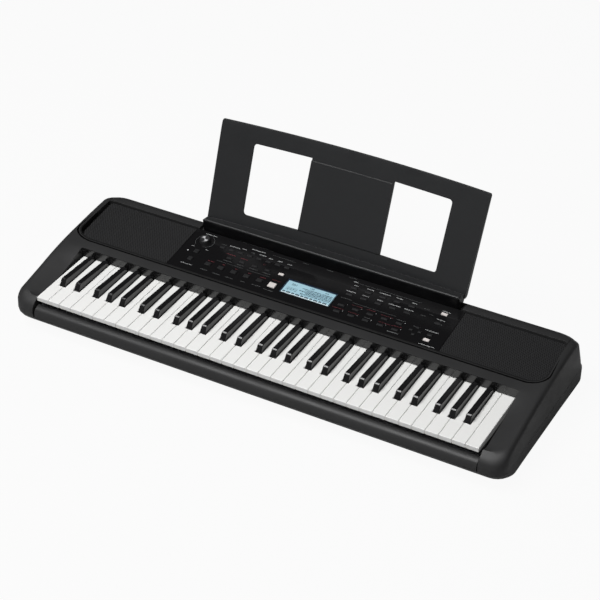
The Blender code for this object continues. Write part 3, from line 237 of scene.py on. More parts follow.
class Shader:
    """A Principled material with helpers to wire its nodes."""

    def __init__(self, name, colour, roughness, **settings):
        self.material = bpy.data.materials.new(name)
        self.material.use_nodes = True
        self.tree = self.material.node_tree
        self.bsdf = self.tree.nodes["Principled BSDF"]
        self.bsdf.inputs["Base Color"].default_value = (*colour, 1.0)
        self.bsdf.inputs["Roughness"].default_value = roughness
        for key, value in settings.items():
            self.bsdf.inputs[key.replace("_", " ")].default_value = value
        self.colour = (*colour, 1.0)
        self.roughness = roughness
        self.coords = None

    def node(self, kind, **settings):
        made = self.tree.nodes.new(kind)
        for key, value in settings.items():
            setattr(made, key, value)
        return made

    def link(self, source, target):
        self.tree.links.new(source, target)

    def position(self):
        if self.coords is None:
            self.coords = self.node("ShaderNodeTexCoord").outputs["Object"]
        return self.coords

    def noise(self, scale, detail=3.0, rough=0.55, stretch=None):
        source = self.position()
        if stretch is not None:
            mapping = self.node("ShaderNodeMapping")
            mapping.inputs["Scale"].default_value = stretch
            self.link(source, mapping.inputs["Vector"])
            source = mapping.outputs["Vector"]
        noise = self.node("ShaderNodeTexNoise")
        noise.inputs["Scale"].default_value = scale
        noise.inputs["Detail"].default_value = detail
        noise.inputs["Roughness"].default_value = rough
        self.link(source, noise.inputs["Vector"])
        return noise.outputs["Fac"]

    def math(self, operation, a, b=None, c=None):
        made = self.node("ShaderNodeMath", operation=operation)
        for slot, value in enumerate((a, b, c)):
            if value is None:
                continue
            if isinstance(value, (int, float)):
                made.inputs[slot].default_value = value
            else:
                self.link(value, made.inputs[slot])
        return made.outputs["Value"]

    def axes(self, vector=None):
        """The X, Y and Z of a vector, or of the place on the surface."""
        parts = self.node("ShaderNodeSeparateXYZ")
        self.link(self.position() if vector is None else vector, parts.inputs["Vector"])
        return parts.outputs

    def mixed(self, factor, start, end):
        """A colour between two, each a constant or another node's colour."""
        mix = self.node("ShaderNodeMix", data_type="RGBA")
        self.link(factor, mix.inputs["Factor"])
        for key, value in (("A", start), ("B", end)):
            if isinstance(value, tuple):
                mix.inputs[key].default_value = (*value[:3], 1.0)
            else:
                self.link(value, mix.inputs[key])
        return mix.outputs["Result"]

    def paint(self, colour):
        self.link(colour, self.bsdf.inputs["Base Color"])

    def ranged(self, value, low, high, to_low, to_high):
        made = self.node("ShaderNodeMapRange")
        self.link(value, made.inputs["Value"])
        for key, number in (("From Min", low), ("From Max", high), ("To Min", to_low), ("To Max", to_high)):
            made.inputs[key].default_value = number
        return made.outputs["Result"]

    def grain(self):
        """Fine grain of a moulded surface."""
        return self.noise(GRAIN_SCALE, 2.0, 0.5)

    def vary_roughness(self, scale, spread, stretch=None):
        fac = self.noise(scale, 4.0, 0.6, stretch)
        low, high = self.roughness - spread, self.roughness + spread
        self.link(self.ranged(fac, 0.3, 0.7, max(low, 0.02), high), self.bsdf.inputs["Roughness"])

    def drifted_colour(self, scale, spread):
        """The colour, drifting a little either side of its own value."""
        fac = self.ranged(self.noise(scale, 4.0, 0.6), 0.3, 0.7, 0.0, 1.0)
        darker = tuple(v * (1.0 - spread) for v in self.colour[:3])
        lighter = tuple(v * (1.0 + spread) for v in self.colour[:3])
        return self.mixed(fac, darker, lighter)

    def vary_colour(self, scale, spread):
        self.paint(self.drifted_colour(scale, spread))

    def surface(self, bumps=(), edge=0.0):
        """Adds rounded edges and a stack of bumps: (height, strength, distance) each."""
        normal = None
        if edge:
            bevel = self.node("ShaderNodeBevel", samples=4)
            bevel.inputs["Radius"].default_value = edge
            normal = bevel.outputs["Normal"]
        for height, strength, distance in bumps:
            bump = self.node("ShaderNodeBump")
            bump.inputs["Strength"].default_value = strength
            bump.inputs["Distance"].default_value = distance
            self.link(height, bump.inputs["Height"])
            if normal is not None:
                self.link(normal, bump.inputs["Normal"])
            normal = bump.outputs["Normal"]
        if normal is not None:
            self.link(normal, self.bsdf.inputs["Normal"])
        return self.material

    def lean_normal(self, share, direction):
        """Leans the surface's normal towards a direction, so that the surface mirrors what lies there."""
        own = self.bsdf.inputs["Normal"].links[0].from_socket
        mix = self.node("ShaderNodeMix", data_type="VECTOR")
        self.link(share, mix.inputs["Factor"])
        self.link(own, mix.inputs["A"])
        mix.inputs["B"].default_value = direction
        unit = self.node("ShaderNodeVectorMath", operation="NORMALIZE")
        self.link(mix.outputs["Result"], unit.inputs[0])
        self.link(unit.outputs["Vector"], self.bsdf.inputs["Normal"])
        return self.material


def moulded(name, colour, roughness, grain=0.25, edge=EDGE, specular=0.3):
    """Moulded plastic: fine spark-eroded grain, slow drift of gloss, soft edges."""
    shader = Shader(name, colour, roughness, Specular_IOR_Level=specular)
    shader.vary_roughness(DRIFT_SCALE, 0.05)
    shader.vary_colour(7.0, 0.10)
    return shader.surface([(shader.grain(), grain, GRAIN_DEPTH)], edge)


def wiped(shader):
    """Finishes polished plastic with faint wipe marks and slow waves."""
    shader.vary_roughness(30.0, 0.03, (1.0, 0.25, 1.0))
    slow = shader.noise(40.0, 2.0, 0.5)
    return shader.surface([(slow, 0.06, 0.0004)], EDGE)


def panel_material():
    """Panel: polished black plastic."""
    return wiped(Shader("panel_gloss", (0.0075, 0.0073, 0.0078), 0.11, Specular_IOR_Level=0.3))


def white_key_material():
    """White key plastic, whose sides glow a little, painted light that brightens the narrow gaps."""
    shader = Shader("white_keys", (0.84, 0.84, 0.825), 0.24)
    facing = shader.axes(shader.node("ShaderNodeNewGeometry").outputs["True Normal"])
    side = shader.math("GREATER_THAN", shader.math("ABSOLUTE", facing["X"]), 0.7)
    # Painted light: the key sides glow, so that the gaps between keys show lighter
    shader.bsdf.inputs["Emission Color"].default_value = (1.0, 1.0, 0.98, 1.0)
    shader.link(shader.math("MULTIPLY", side, KEY_SIDE_PAINTED_GLOW), shader.bsdf.inputs["Emission Strength"])
    return wiped(shader)


def fallboard_zone(shader, place):
    """One on the polished board behind the keys."""
    half, front, rear, low, high = FALLBOARD
    zone = shader.math("LESS_THAN", shader.math("ABSOLUTE", place["X"]), half)
    for axis, start, end in (("Y", front, rear), ("Z", low, high)):
        past = shader.math("GREATER_THAN", place[axis], start)
        short = shader.math("LESS_THAN", place[axis], end)
        zone = shader.math("MULTIPLY", zone, shader.math("MULTIPLY", past, short))
    return zone


def corner_distance(shader, place, outer, front, radius):
    """Distance from the middle of a rounded front corner, or from the straight that goes on from it."""
    across = shader.math("SUBTRACT", shader.math("ABSOLUTE", place["X"]), outer - radius)
    along = shader.math("SUBTRACT", front + radius, place["Y"])
    squares = [shader.math("POWER", shader.math("MAXIMUM", value, 0.0), 2.0) for value in (across, along)]
    return shader.math("SQRT", shader.math("ADD", *squares))


def ring_zone(shader, place, front_span, end_span):
    """One between two distances off the recess, which change along its ends."""
    near_y, far_y, low = BORDER_SPAN
    radius = RECESS[2]
    distance = corner_distance(shader, place, *RECESS)
    inner, outer = (
        shader.ranged(place["Y"], near_y, far_y, radius + at_front, radius + at_end)
        for at_front, at_end in zip(front_span, end_span)
    )
    past = shader.math("GREATER_THAN", distance, inner)
    short = shader.math("LESS_THAN", distance, outer)
    above = shader.math("GREATER_THAN", place["Z"], low)
    return shader.math("MULTIPLY", above, shader.math("MULTIPLY", past, short))


def case_material():
    """Case moulding, with a polished fallboard behind the keys and the painted shade of a groove round the
    recess.
    """
    shader = Shader("case_moulding", CASE_COLOUR, 0.44)
    place = shader.axes()
    fallboard = fallboard_zone(shader, place)
    border = ring_zone(shader, place, BORDER_FRONT, BORDER_END)
    # Painted shade: a near-black line with less shine, where a groove's shadow falls round the recess
    groove_shade = ring_zone(shader, place, GROOVE_SHADE_FRONT, GROOVE_SHADE_END)
    gloss = shader.node("ShaderNodeMix", data_type="FLOAT")
    shader.link(fallboard, gloss.inputs["Factor"])
    shader.link(shader.ranged(shader.noise(DRIFT_SCALE, 4.0, 0.6), 0.3, 0.7, 0.39, 0.49), gloss.inputs["A"])
    gloss.inputs["B"].default_value = FALLBOARD_ROUGHNESS
    shader.link(gloss.outputs["Result"], shader.bsdf.inputs["Roughness"])
    shine = shader.ranged(fallboard, 0.0, 1.0, CASE_SHINE, FALLBOARD_SHINE)
    shine = shader.math("SUBTRACT", shine, shader.math("MULTIPLY", groove_shade, GROOVE_SHADE_SHINE_LOSS))
    shader.link(shine, shader.bsdf.inputs["Specular IOR Level"])
    colour = shader.drifted_colour(7.0, 0.10)
    for zone, inside in ((fallboard, FALLBOARD_COLOUR), (border, BORDER_COLOUR), (groove_shade, GROOVE_SHADE_COLOUR)):
        colour = shader.mixed(zone, colour, inside)
    shader.paint(colour)
    grain = shader.math("MULTIPLY", shader.grain(), shader.math("SUBTRACT", 1.0, fallboard))
    shader.surface([(grain, 0.35, GRAIN_DEPTH)], CASE_EDGE)
    return shader.lean_normal(shader.math("MULTIPLY", fallboard, FALLBOARD_LEAN), (0.0, -1.0, 0.0))


def rest_material():
    """Rest moulding: satin plate, and a skirt under its lip painted near-black, its own black with painted
    shade.
    """
    shader = Shader("rest_moulding", (0.0165, 0.017, 0.018), 0.34, Specular_IOR_Level=0.3)
    place = shader.axes()
    before = shader.math("LESS_THAN", place["Y"], SKIRT[0])
    below = shader.math("LESS_THAN", place["Z"], SKIRT[1])
    # The skirt's near-black is its own black and painted shade under the lip
    shader.paint(shader.mixed(shader.math("MULTIPLY", before, below), shader.colour, SKIRT_BLACK_AND_SHADE_COLOUR))
    shader.vary_roughness(DRIFT_SCALE, 0.05)
    return shader.surface([(shader.grain(), 0.2, GRAIN_DEPTH)], REST_EDGE)


def hole_distance(shader, place):
    """Distance in millimetres to the nearest hole's middle, in staggered rows."""
    nearest = None
    for shift in (0.0, 0.5):
        squares = []
        for axis, pitch in (("X", GRILLE_PITCH), ("Y", GRILLE_PITCH * math.sqrt(3.0))):
            cell = shader.math("MULTIPLY_ADD", place[axis], 1.0 / pitch, shift + 100.0)
            centred = shader.math("SUBTRACT", shader.math("FRACT", cell), 0.5)
            length = shader.math("MULTIPLY", centred, pitch / MM)
            squares.append(shader.math("MULTIPLY", length, length))
        square = shader.math("ADD", *squares)
        nearest = square if nearest is None else shader.math("MINIMUM", nearest, square)
    return shader.math("SQRT", nearest)


def grille_material():
    """Perforated plastic: staggered round holes painted dark inside as shade, and painted shade along the
    front and outer border.
    """
    shader = Shader("grille_plastic", (0.025, 0.025, 0.026), 0.46, Specular_IOR_Level=0.25)
    place = shader.axes()
    solid = shader.ranged(hole_distance(shader, place), *HOLE_RADIUS_MM, 0.0, 1.0)
    past_edge = corner_distance(shader, place, *GRILLE_EDGE)
    # Painted shade: holes dark inside, and a dark band where the groove round the grille lies in shadow
    border = shader.math("GREATER_THAN", past_edge, GRILLE_EDGE[2] - GRILLE_SHADE_WIDTH)
    shader.paint(shader.mixed(border, shader.mixed(solid, GRILLE_SHADE_COLOUR, shader.colour), GRILLE_SHADE_COLOUR))
    shader.link(shader.ranged(solid, 0.0, 1.0, 0.8, 0.46), shader.bsdf.inputs["Roughness"])
    return shader.surface([(solid, 0.8, 0.0004), (shader.grain(), 0.2, GRAIN_DEPTH)], EDGE)


def spun_material():
    """Spun cap of the dial: fine rings, and two bright fans of painted highlight such as spun rings show.
    """
    shader = Shader("spun_cap", (0.03, 0.03, 0.031), 0.30, Metallic=0.2, Anisotropic=0.85)
    tangent = shader.node("ShaderNodeTangent", direction_type="RADIAL", axis="Z")
    shader.link(tangent.outputs["Tangent"], shader.bsdf.inputs["Tangent"])
    place = shader.axes()
    # Painted highlight: two bright fans across the cap, fixed in its colour
    turn = shader.math("ARCTAN2", place["Y"], place["X"])
    across = shader.math("ABSOLUTE", shader.math("COSINE", shader.math("SUBTRACT", turn, FAN_HIGHLIGHT_DIRECTION)))
    fan_highlight = shader.ranged(across, 0.72, 1.0, 0.0, 1.0)
    shader.paint(shader.mixed(fan_highlight, shader.colour, FAN_HIGHLIGHT_COLOUR))
    squares = [shader.math("MULTIPLY", place[axis], place[axis]) for axis in "XY"]
    radius = shader.math("SQRT", shader.math("ADD", *squares))
    rings = shader.math("SINE", shader.math("MULTIPLY", radius, RING_FREQUENCY))
    return shader.surface([(rings, 0.15, 0.00005)])


def ink(name, colour, roughness=0.5):
    """Printed ink, a little uneven."""
    shader = Shader(name, colour, roughness)
    shader.vary_colour(900.0, 0.12)
    return shader.material


def board_material():
    """Solder resist with copper tracks under it."""
    shader = Shader("solder_resist", (0.025, 0.14, 0.06), 0.35)
    tracks = shader.node("ShaderNodeTexVoronoi", distance="CHEBYCHEV")
    tracks.inputs["Scale"].default_value = 160.0
    shader.link(shader.position(), tracks.inputs["Vector"])
    distance = tracks.outputs["Distance"]
    shader.paint(shader.mixed(shader.ranged(distance, 0.40, 0.46, 0.0, 1.0), RESIST_COLOUR, TRACK_COLOUR))
    return shader.surface([(distance, 0.1, 0.0001)])


def cone_material():
    """Loudspeaker: fibrous cone paper."""
    shader = Shader("cone_paper", (0.018, 0.018, 0.018), 0.7)
    shader.vary_colour(300.0, 0.35)
    fibres = shader.noise(900.0, 5.0, 0.7)
    return shader.surface([(fibres, 0.5, 0.0003)])


def steel_material(name, colour):
    """Plated sheet metal, drawn along its length."""
    shader = Shader(name, colour, 0.28, Metallic=1.0)
    shader.vary_roughness(400.0, 0.08, (1.0, 8.0, 1.0))
    fine = shader.noise(700.0, 3.0, 0.5, (1.0, 10.0, 1.0))
    return shader.surface([(fine, 0.12, 0.0001)], 0.0002)


def display_material():
    """Backlit display: an even pale blue with a slow drift."""
    shader = Shader("display_glow", (0.33, 0.52, 0.60), 0.12, Emission_Strength=0.13)
    shader.bsdf.inputs["Emission Color"].default_value = (0.34, 0.53, 0.60, 1.0)
    shader.vary_colour(14.0, 0.05)
    slow = shader.noise(60.0, 2.0, 0.5)
    return shader.surface([(slow, 0.03, 0.0003)])


def smoothing_group():
    """Merges split corners and smooths everything but the sharp edges."""
    group = bpy.data.node_groups.new("smooth_faces", "GeometryNodeTree")
    group.interface.new_socket("Geometry", in_out="INPUT", socket_type="NodeSocketGeometry")
    angle = group.interface.new_socket("Angle", in_out="INPUT", socket_type="NodeSocketFloat")
    angle.default_value = SMOOTH_BELOW
    group.interface.new_socket("Geometry", in_out="OUTPUT", socket_type="NodeSocketGeometry")
    nodes, links = group.nodes, group.links
    start = nodes.new("NodeGroupInput")
    end = nodes.new("NodeGroupOutput")
    merge = nodes.new("GeometryNodeMergeByDistance")
    merge.inputs["Distance"].default_value = MERGE_DISTANCE
    faces = nodes.new("GeometryNodeSetShadeSmooth")
    faces.domain = "FACE"
    faces.inputs["Shade Smooth"].default_value = True
    edges = nodes.new("GeometryNodeSetShadeSmooth")
    edges.domain = "EDGE"
    edges.inputs["Shade Smooth"].default_value = False
    edge_angle = nodes.new("GeometryNodeInputMeshEdgeAngle")
    compare = nodes.new("FunctionNodeCompare")
    compare.data_type = "FLOAT"
    compare.operation = "GREATER_THAN"
    links.new(start.outputs["Geometry"], merge.inputs["Geometry"])
    links.new(merge.outputs["Geometry"], faces.inputs["Geometry"])
    links.new(faces.outputs["Geometry"], edges.inputs["Geometry"])
    links.new(edge_angle.outputs["Unsigned Angle"], compare.inputs["A"])
    links.new(start.outputs["Angle"], compare.inputs["B"])
    links.new(compare.outputs["Result"], edges.inputs["Selection"])
    links.new(edges.outputs["Geometry"], end.inputs["Geometry"])
    return group, angle.identifier


# Building pieces


def add_piece(name, bm, material, matrix=DATUM, body=ROOT, smooth=None):
    """Turns bm into a piece that rides on a body; its origin stays at the matrix's own."""
    mesh = bpy.data.meshes.new(name)
    bm.to_mesh(mesh)
    bm.free()
    mesh.materials.append(material)
    if smooth is not None:
        mesh.shade_smooth()
        mesh.set_sharp_from_angle(angle=math.radians(smooth))
    mesh.transform(Matrix.Scale(MM, 4))
    obj = bpy.data.objects.new(name, mesh)
    bpy.context.scene.collection.objects.link(obj)
    obj.matrix_world = matrix @ Matrix.Scale(1.0 / MM, 4)
    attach(obj, body)
    return obj


def add_box(bm, low, high):
    """A box between two corners."""
    size = Vector(high) - Vector(low)
    middle = (Vector(high) + Vector(low)) / 2
    bmesh.ops.create_cube(bm, size=1.0, matrix=Matrix.Translation(middle) @ Matrix.Diagonal((*size, 1.0)))


def add_print(bm, x, v, width, depth):
    """A printed mark on the panel's face, middle at x and v."""
    add_box(bm, (x - width / 2, v - depth / 2, PRINT_LIFT), (x + width / 2, v + depth / 2, PRINT_TOP))


def add_ring(bm, centre, inner, outer, low, high, start=0.0, end=360.0, steps=48):
    """A flat ring, or part of one."""
    count = steps if end - start >= 360.0 else steps + 1
    rings = []
    for i in range(count):
        angle = math.radians(start + (end - start) * i / steps)
        c, s = math.cos(angle), math.sin(angle)
        section = ((inner, low), (outer, low), (outer, high), (inner, high))
        rings.append([bm.verts.new((centre[0] + r * c, centre[1] + r * s, z)) for r, z in section])
    spans = range(count if count == steps else count - 1)
    for i in spans:
        here, there = rings[i], rings[(i + 1) % count]
        for k in range(4):
            m = (k + 1) % 4
            bm.faces.new((here[k], there[k], there[m], here[m]))
    if count != steps:
        bm.faces.new(rings[0])
        bm.faces.new(reversed(rings[-1]))
    bmesh.ops.recalc_face_normals(bm, faces=bm.faces)


def panel_v(y):
    """Distance along the panel of a point at y."""
    return (y - PANEL_Y) / math.cos(PANEL_SLOPE)


def add_word(bm, rng, low_x, high_x, y, height):
    """A run of small strokes, as long as a printed word but without letters."""
    x = low_x
    while x < high_x - STROKE_REST:
        width = min(rng.uniform(*STROKE_WIDTHS), high_x - x)
        tall = height * rng.uniform(*STROKE_SHARES)
        add_print(bm, x + width / 2, panel_v(y) + rng.uniform(*STROKE_SHIFTS), width, tall)
        x += width + rng.uniform(*STROKE_GAPS)


def add_digits(bm, text, x, v, size, low):
    """Numerals as flat solids, centred on x and v."""
    curve = bpy.data.curves.new("numeral", "FONT")
    curve.body = text
    curve.size = size
    curve.align_x = "CENTER"
    curve.align_y = "CENTER"
    curve.extrude = PRINT_THICKNESS / 2
    curve.resolution_u = 3
    holder = bpy.data.objects.new("numeral", curve)
    mesh = bpy.data.meshes.new_from_object(holder)
    mesh.transform(Matrix.Translation((x, v, low + PRINT_LIFT + PRINT_THICKNESS / 2)))
    bm.from_mesh(mesh)
    bpy.data.objects.remove(holder)
    bpy.data.curves.remove(curve)
    bpy.data.meshes.remove(mesh)


# Legends on the panel: (low x, high x, y, height)

WHITE_WORDS = (
    (-246.3, -222.8, 281.0, 2.2), (-252.6, -246.8, 241.5, 2.0), (-223.5, -217.5, 241.3, 2.0),
    (-246.6, -223.0, 193.9, 2.0), (-188.9, -168.7, 269.6, 2.6), (-164.3, -155.0, 272.0, 2.4),
    (-148.0, -120.3, 278.3, 2.4), (-128.0, -114.5, 270.9, 2.8), (-108.0, -99.6, 268.8, 2.4),
    (-89.3, -80.5, 269.0, 2.4), (-70.4, -61.2, 268.7, 2.4), (58.5, 68.5, 276.8, 2.2),
    (62.6, 72.4, 268.4, 2.2), (88.7, 100.8, 269.6, 2.4), (111.8, 133.3, 269.9, 2.4),
    (144.5, 156.7, 270.0, 2.4), (173.9, 183.9, 269.9, 2.4), (57.5, 76.2, 250.8, 2.3),
    (88.7, 100.8, 250.9, 2.3), (116.5, 128.0, 251.4, 2.3), (139.5, 161.1, 250.9, 2.3),
    (168.8, 187.3, 250.5, 2.3), (230.6, 246.0, 273.0, 2.0), (224.3, 249.1, 218.0, 2.3),
    (230.0, 246.5, 250.3, 2.2), (229.1, 258.5, 182.6, 2.2),
)
DIM_WORDS = (
    (-205.0, -193.7, 267.8, 1.6), (-144.3, -137.0, 269.3, 1.8), (-179.2, -162.7, 230.7, 1.6),
    (-151.0, -138.6, 230.3, 1.6), (-126.5, -109.4, 231.0, 1.7), (-99.6, -83.7, 230.5, 1.6),
    (-204.7, -191.3, 192.6, 1.9), (-180.0, -163.0, 191.6, 1.9), (-153.3, -138.5, 192.3, 1.9),
    (-123.4, -114.8, 193.5, 1.9), (-100.9, -84.2, 194.9, 1.9), (-76.0, -57.4, 192.8, 1.9),
    (45.6, 61.1, 284.0, 1.2), (-46.1, -35.5, 283.7, 1.2), (0.0, 13.0, 284.4, 1.2), (56.7, 77.7, 231.0, 1.5),
    (116.4, 128.0, 202.2, 1.6), (201.6, 211.2, 217.9, 1.5), (201.0, 211.0, 248.0, 1.4),
    (199.8, 209.4, 265.6, 1.4), (214.4, 221.6, 255.7, 1.4), (169.4, 186.5, 220.6, 1.6),
    (230.8, 245.0, 239.6, 1.6), (45.0, 59.0, 289.0, 0.9),
)
RED_WORDS = (
    (-183.7, -164.8, 248.7, 1.9), (-153.6, -139.6, 247.6, 1.9), (-204.2, -191.2, 217.9, 1.6),
    (-174.6, -168.9, 218.9, 1.9), (-148.8, -142.6, 218.1, 1.6), (-121.4, -115.6, 218.2, 1.6),
    (-96.6, -85.8, 218.1, 1.6), (-73.9, -56.6, 220.8, 1.4), (-108.5, -103.0, 249.6, 1.2),
    (53.6, 77.4, 203.5, 1.1), (83.5, 103.4, 221.3, 1.1), (112.0, 128.9, 221.9, 1.1),
    (138.8, 162.4, 220.0, 1.1), (85.4, 106.8, 202.8, 1.1), (143.7, 170.6, 202.6, 1.1),
    (171.5, 187.3, 204.4, 1.1),
)
# Thin rules that group the buttons: (low x, high x, y), and one wide bar: (middle x, y, width, depth)
RULES = (
    (-105.6, -58.0, 279.0), (69.4, 190.1, 275.8), (-180.0, -110.0, 288.5), (-190.0, -136.0, 224.6),
    (-128.0, -82.0, 224.6), (82.0, 166.0, 226.5),
)
WIDE_BAR = (177.8, 187.9, 21.7, 1.6)


def add_words(bm, rng, words):
    """A run of strokes for each place of a legend."""
    for low_x, high_x, y, height in words:
        add_word(bm, rng, low_x, high_x, y, height)


def legends():
    """Three inks on the panel: white with the numerals, dim with the rules, and red."""
    rng = random.Random(61)
    white = bmesh.new()
    add_words(white, rng, WHITE_WORDS)
    add_lamp_dot(white)
    add_numerals(white)
    add_piece("white_legends", white, ink("white_legends_ink", WHITE_INK), PANEL)
    dim = bmesh.new()
    add_words(dim, rng, DIM_WORDS)
    add_rules(dim)
    add_dial_scale(dim)
    add_piece("dim_legends", dim, ink("dim_legends_ink", DIM_INK), PANEL)
    red = bmesh.new()
    add_words(red, rng, RED_WORDS)
    add_piece("red_legends", red, ink("red_legends_ink", RED_INK), PANEL)


def add_lamp_dot(bm):
    """Round dot beside the mode button."""
    x, y, radius = LAMP_DOT
    add_ring(bm, (x, panel_v(y)), POINT_RADIUS, radius, PRINT_LIFT, PRINT_TOP, steps=16)


def add_numerals(bm):
    """One numeral beside each number button, in two rows of five."""
    for i, digit in enumerate("1234567890"):
        x = NUMERAL_X + NUMERAL_SPACING * (i % 5)
        add_digits(bm, digit, x, panel_v(NUMERAL_YS[i // 5]), NUMERAL_SIZE, 0.0)


def add_rules(bm):
    """Thin rules and the one wide bar."""
    for low_x, high_x, y in RULES:
        add_print(bm, (low_x + high_x) / 2, panel_v(y), high_x - low_x, RULE_DEPTH)
    x, y, width, depth = WIDE_BAR
    add_print(bm, x, panel_v(y), width, depth)


def add_dial_scale(bm):
    """Printed ring round the dial, open at two places."""
    for start, end in DIAL_SCALE_ARCS:
        add_ring(bm, DIAL_CENTRE, *DIAL_SCALE, PRINT_LIFT, PRINT_TOP, start, end)


# Display


def add_bar(bm, low, high, thickness, lift=MARK_LOW):
    """A flat mark on the display's face, between two corners."""
    add_box(bm, (*low, DISPLAY_FACE + lift), (*high, DISPLAY_FACE + thickness))


def add_display_edge(bm):
    """Dark edge along the four sides of the display."""
    (x0, v0), (x1, v1) = DISPLAY_LOW, DISPLAY_HIGH
    left, right = x0 + DISPLAY_EDGE_LEFT, x1 - DISPLAY_EDGE_RIGHT
    add_bar(bm, (x0, v0), (left, v1), EDGE_MARK)
    add_bar(bm, (right, v0), (x1, v1), EDGE_MARK)
    add_bar(bm, (left, v0), (right, v0 + DISPLAY_EDGE_FRONT), EDGE_MARK)
    add_bar(bm, (left, v1 - DISPLAY_EDGE_REAR), (right, v1), EDGE_MARK)


def add_display_keys(pale, dark):
    """The row of small keys along the display's front."""
    left = DISPLAY_LOW[0] + DISPLAY_EDGE_LEFT
    right = DISPLAY_HIGH[0] - DISPLAY_EDGE_RIGHT
    front = DISPLAY_LOW[1] + DISPLAY_EDGE_FRONT
    pitch = (right - left - 2 * DISPLAY_KEY_INSET) / DISPLAY_KEYS
    add_bar(pale, (left, front), (right, front + DISPLAY_WHITE_DEPTH), KEY_MARK)
    low, high = (front + distance for distance in DISPLAY_BLACK_SPAN)
    lift, thickness = BLACK_MARK
    for octave in range(DISPLAY_OCTAVES):
        for place in DISPLAY_BLACK_PLACES:
            x = left + DISPLAY_KEY_INSET + (octave * 7 + place) * pitch
            add_bar(dark, (x - DISPLAY_BLACK_HALF, low), (x + DISPLAY_BLACK_HALF, high), thickness, lift)


def add_display_rows(bm):
    """Rows of short bars, as long as a line of text."""
    rng = random.Random(7)
    for v, low in DISPLAY_ROWS:
        x = low
        while x < DISPLAY_ROW_END - 1.0:
            width = rng.uniform(*DISPLAY_BAR_WIDTHS)
            half = rng.uniform(*DISPLAY_BAR_HALVES)
            add_bar(bm, (x, v - half), (min(x + width, DISPLAY_ROW_END), v + half), BAR_MARK)
            x += width + rng.uniform(*DISPLAY_BAR_GAPS)


def add_stave(bm):
    """A stave with a few notes on it."""
    low, high, bottom = STAVE
    for line in range(STAVE_LINES):
        v = bottom + line * STAVE_SPACING
        add_bar(bm, (low, v), (high, v + STAVE_LINE_DEPTH), BAR_MARK)
    low_z, high_z = DISPLAY_FACE + MARK_LOW, DISPLAY_FACE + NOTE_MARK
    for note in range(NOTES):
        x = low + NOTE_INSET + note * NOTE_SPACING
        step = note % 3
        head = (x, bottom + 0.5 + STAVE_SPACING * step)
        add_ring(bm, head, POINT_RADIUS, NOTE_RADIUS, low_z, high_z, steps=10)
        foot = (x + STEM_SIDES[0], bottom + STEM_ENDS[0] + step)
        tip = (x + STEM_SIDES[1], bottom + STEM_ENDS[1] + step)
        add_bar(bm, foot, tip, NOTE_MARK)


def display():
    """What the display shows: a dark edge, a row of keys, figures, bars and a stave."""
    dark, pale, segments = bmesh.new(), bmesh.new(), bmesh.new()
    add_display_edge(dark)
    add_display_keys(pale, dark)
    for figures, x, v, size in DISPLAY_FIGURES:
        add_digits(segments, figures, x, v, size, DISPLAY_FACE)
    add_display_rows(segments)
    add_stave(segments)
    edge_ink = ink("display_edge_ink", DISPLAY_EDGE_INK, 0.25)
    key_ink = ink("display_keys_ink", DISPLAY_KEY_INK, 0.3)
    segment_ink = ink("segment_ink", SEGMENT_INK, 0.25)
    add_piece("display_edge", dark, edge_ink, PANEL)
    add_piece("display_keys", pale, key_ink, PANEL)
    add_piece("display_segments", segments, segment_ink, PANEL)


# Small hardware


def dial_cap():
    """Spun cap on the dial, which turns with it."""
    low_radius, high_radius, depth, middle = DIAL_CAP
    bm = bmesh.new()
    bmesh.ops.create_cone(
        bm, cap_ends=True, segments=64, radius1=low_radius, radius2=high_radius, depth=depth,
        matrix=Matrix.Translation((0.0, 0.0, middle)),
    )
    centre = PANEL @ Matrix.Translation((*DIAL_CENTRE, 0.0))
    add_piece("dial_cap", bm, spun_material(), centre, "volume_dial", 30.0)


def jack_sleeves():
    """Bright contact sleeves inside the round sockets."""
    bm = bmesh.new()
    for x, bore in SLEEVES:
        add_ring(bm, (x, SLEEVE_DROP), bore, bore + SLEEVE_WALL, 0.0, SLEEVE_LENGTH, steps=24)
    turn = Matrix.Translation((0.0, SLEEVE_Y, 0.0)) @ Matrix.Rotation(-math.pi / 2, 4, "X")
    bm.transform(turn)
    bmesh.ops.recalc_face_normals(bm, faces=bm.faces)
    nickel = steel_material("sleeve_nickel", NICKEL)
    add_piece("jack_sleeves", bm, nickel, smooth=40.0)


def case_screws():
    """Cross-head screws that hold the two halves of the case together."""
    heads = bmesh.new()
    for x in SCREW_XS:
        for y in SCREW_YS:
            if abs(x) < SCREW_FREE_X and y == SCREW_YS[1]:
                continue
            add_screw(heads, x, y)
    heads.transform(Matrix.Translation((0.0, 0.0, CASE_BOTTOM)))
    black = steel_material("screw_black", BLACK_STEEL)
    add_piece("case_screws", heads, black, smooth=35.0)


def add_screw(bm, x, y):
    """Half-sunk head with a cross in its middle, seen from below."""
    inner, outer, depth = SCREW_HEAD
    add_ring(bm, (x, y), inner, outer, -depth, 0.0, steps=20)
    for turn in range(4):
        angle = math.radians(45 + 90 * turn)
        c, s = math.cos(angle), math.sin(angle)
        points = [(x + r * c - w * s, y + r * s + w * c) for r, w in SCREW_LOBE]
        low = [bm.verts.new((px, py, -SCREW_LOBE_DEPTH)) for px, py in points]
        high = [bm.verts.new((px, py, 0.0)) for px, py in points]
        bm.faces.new(reversed(low))
        bm.faces.new(high)
        for i in range(4):
            j = (i + 1) % 4
            bm.faces.new((low[i], low[j], high[j], high[i]))


def socket_marks():
    """A plain bar over each rear socket."""
    half, thickness, half_height = SOCKET_MARK
    bm = bmesh.new()
    for x in SOCKET_XS:
        add_box(bm, (x - half, 0.0, -half_height), (x + half, thickness, half_height))
    place = DATUM @ Matrix.Translation((0.0, SOCKET_MARK_Y, SOCKET_MARK_Z))
    add_piece("socket_marks", bm, ink("socket_ink", DIM_INK), place)


# Dressing the CAD solids


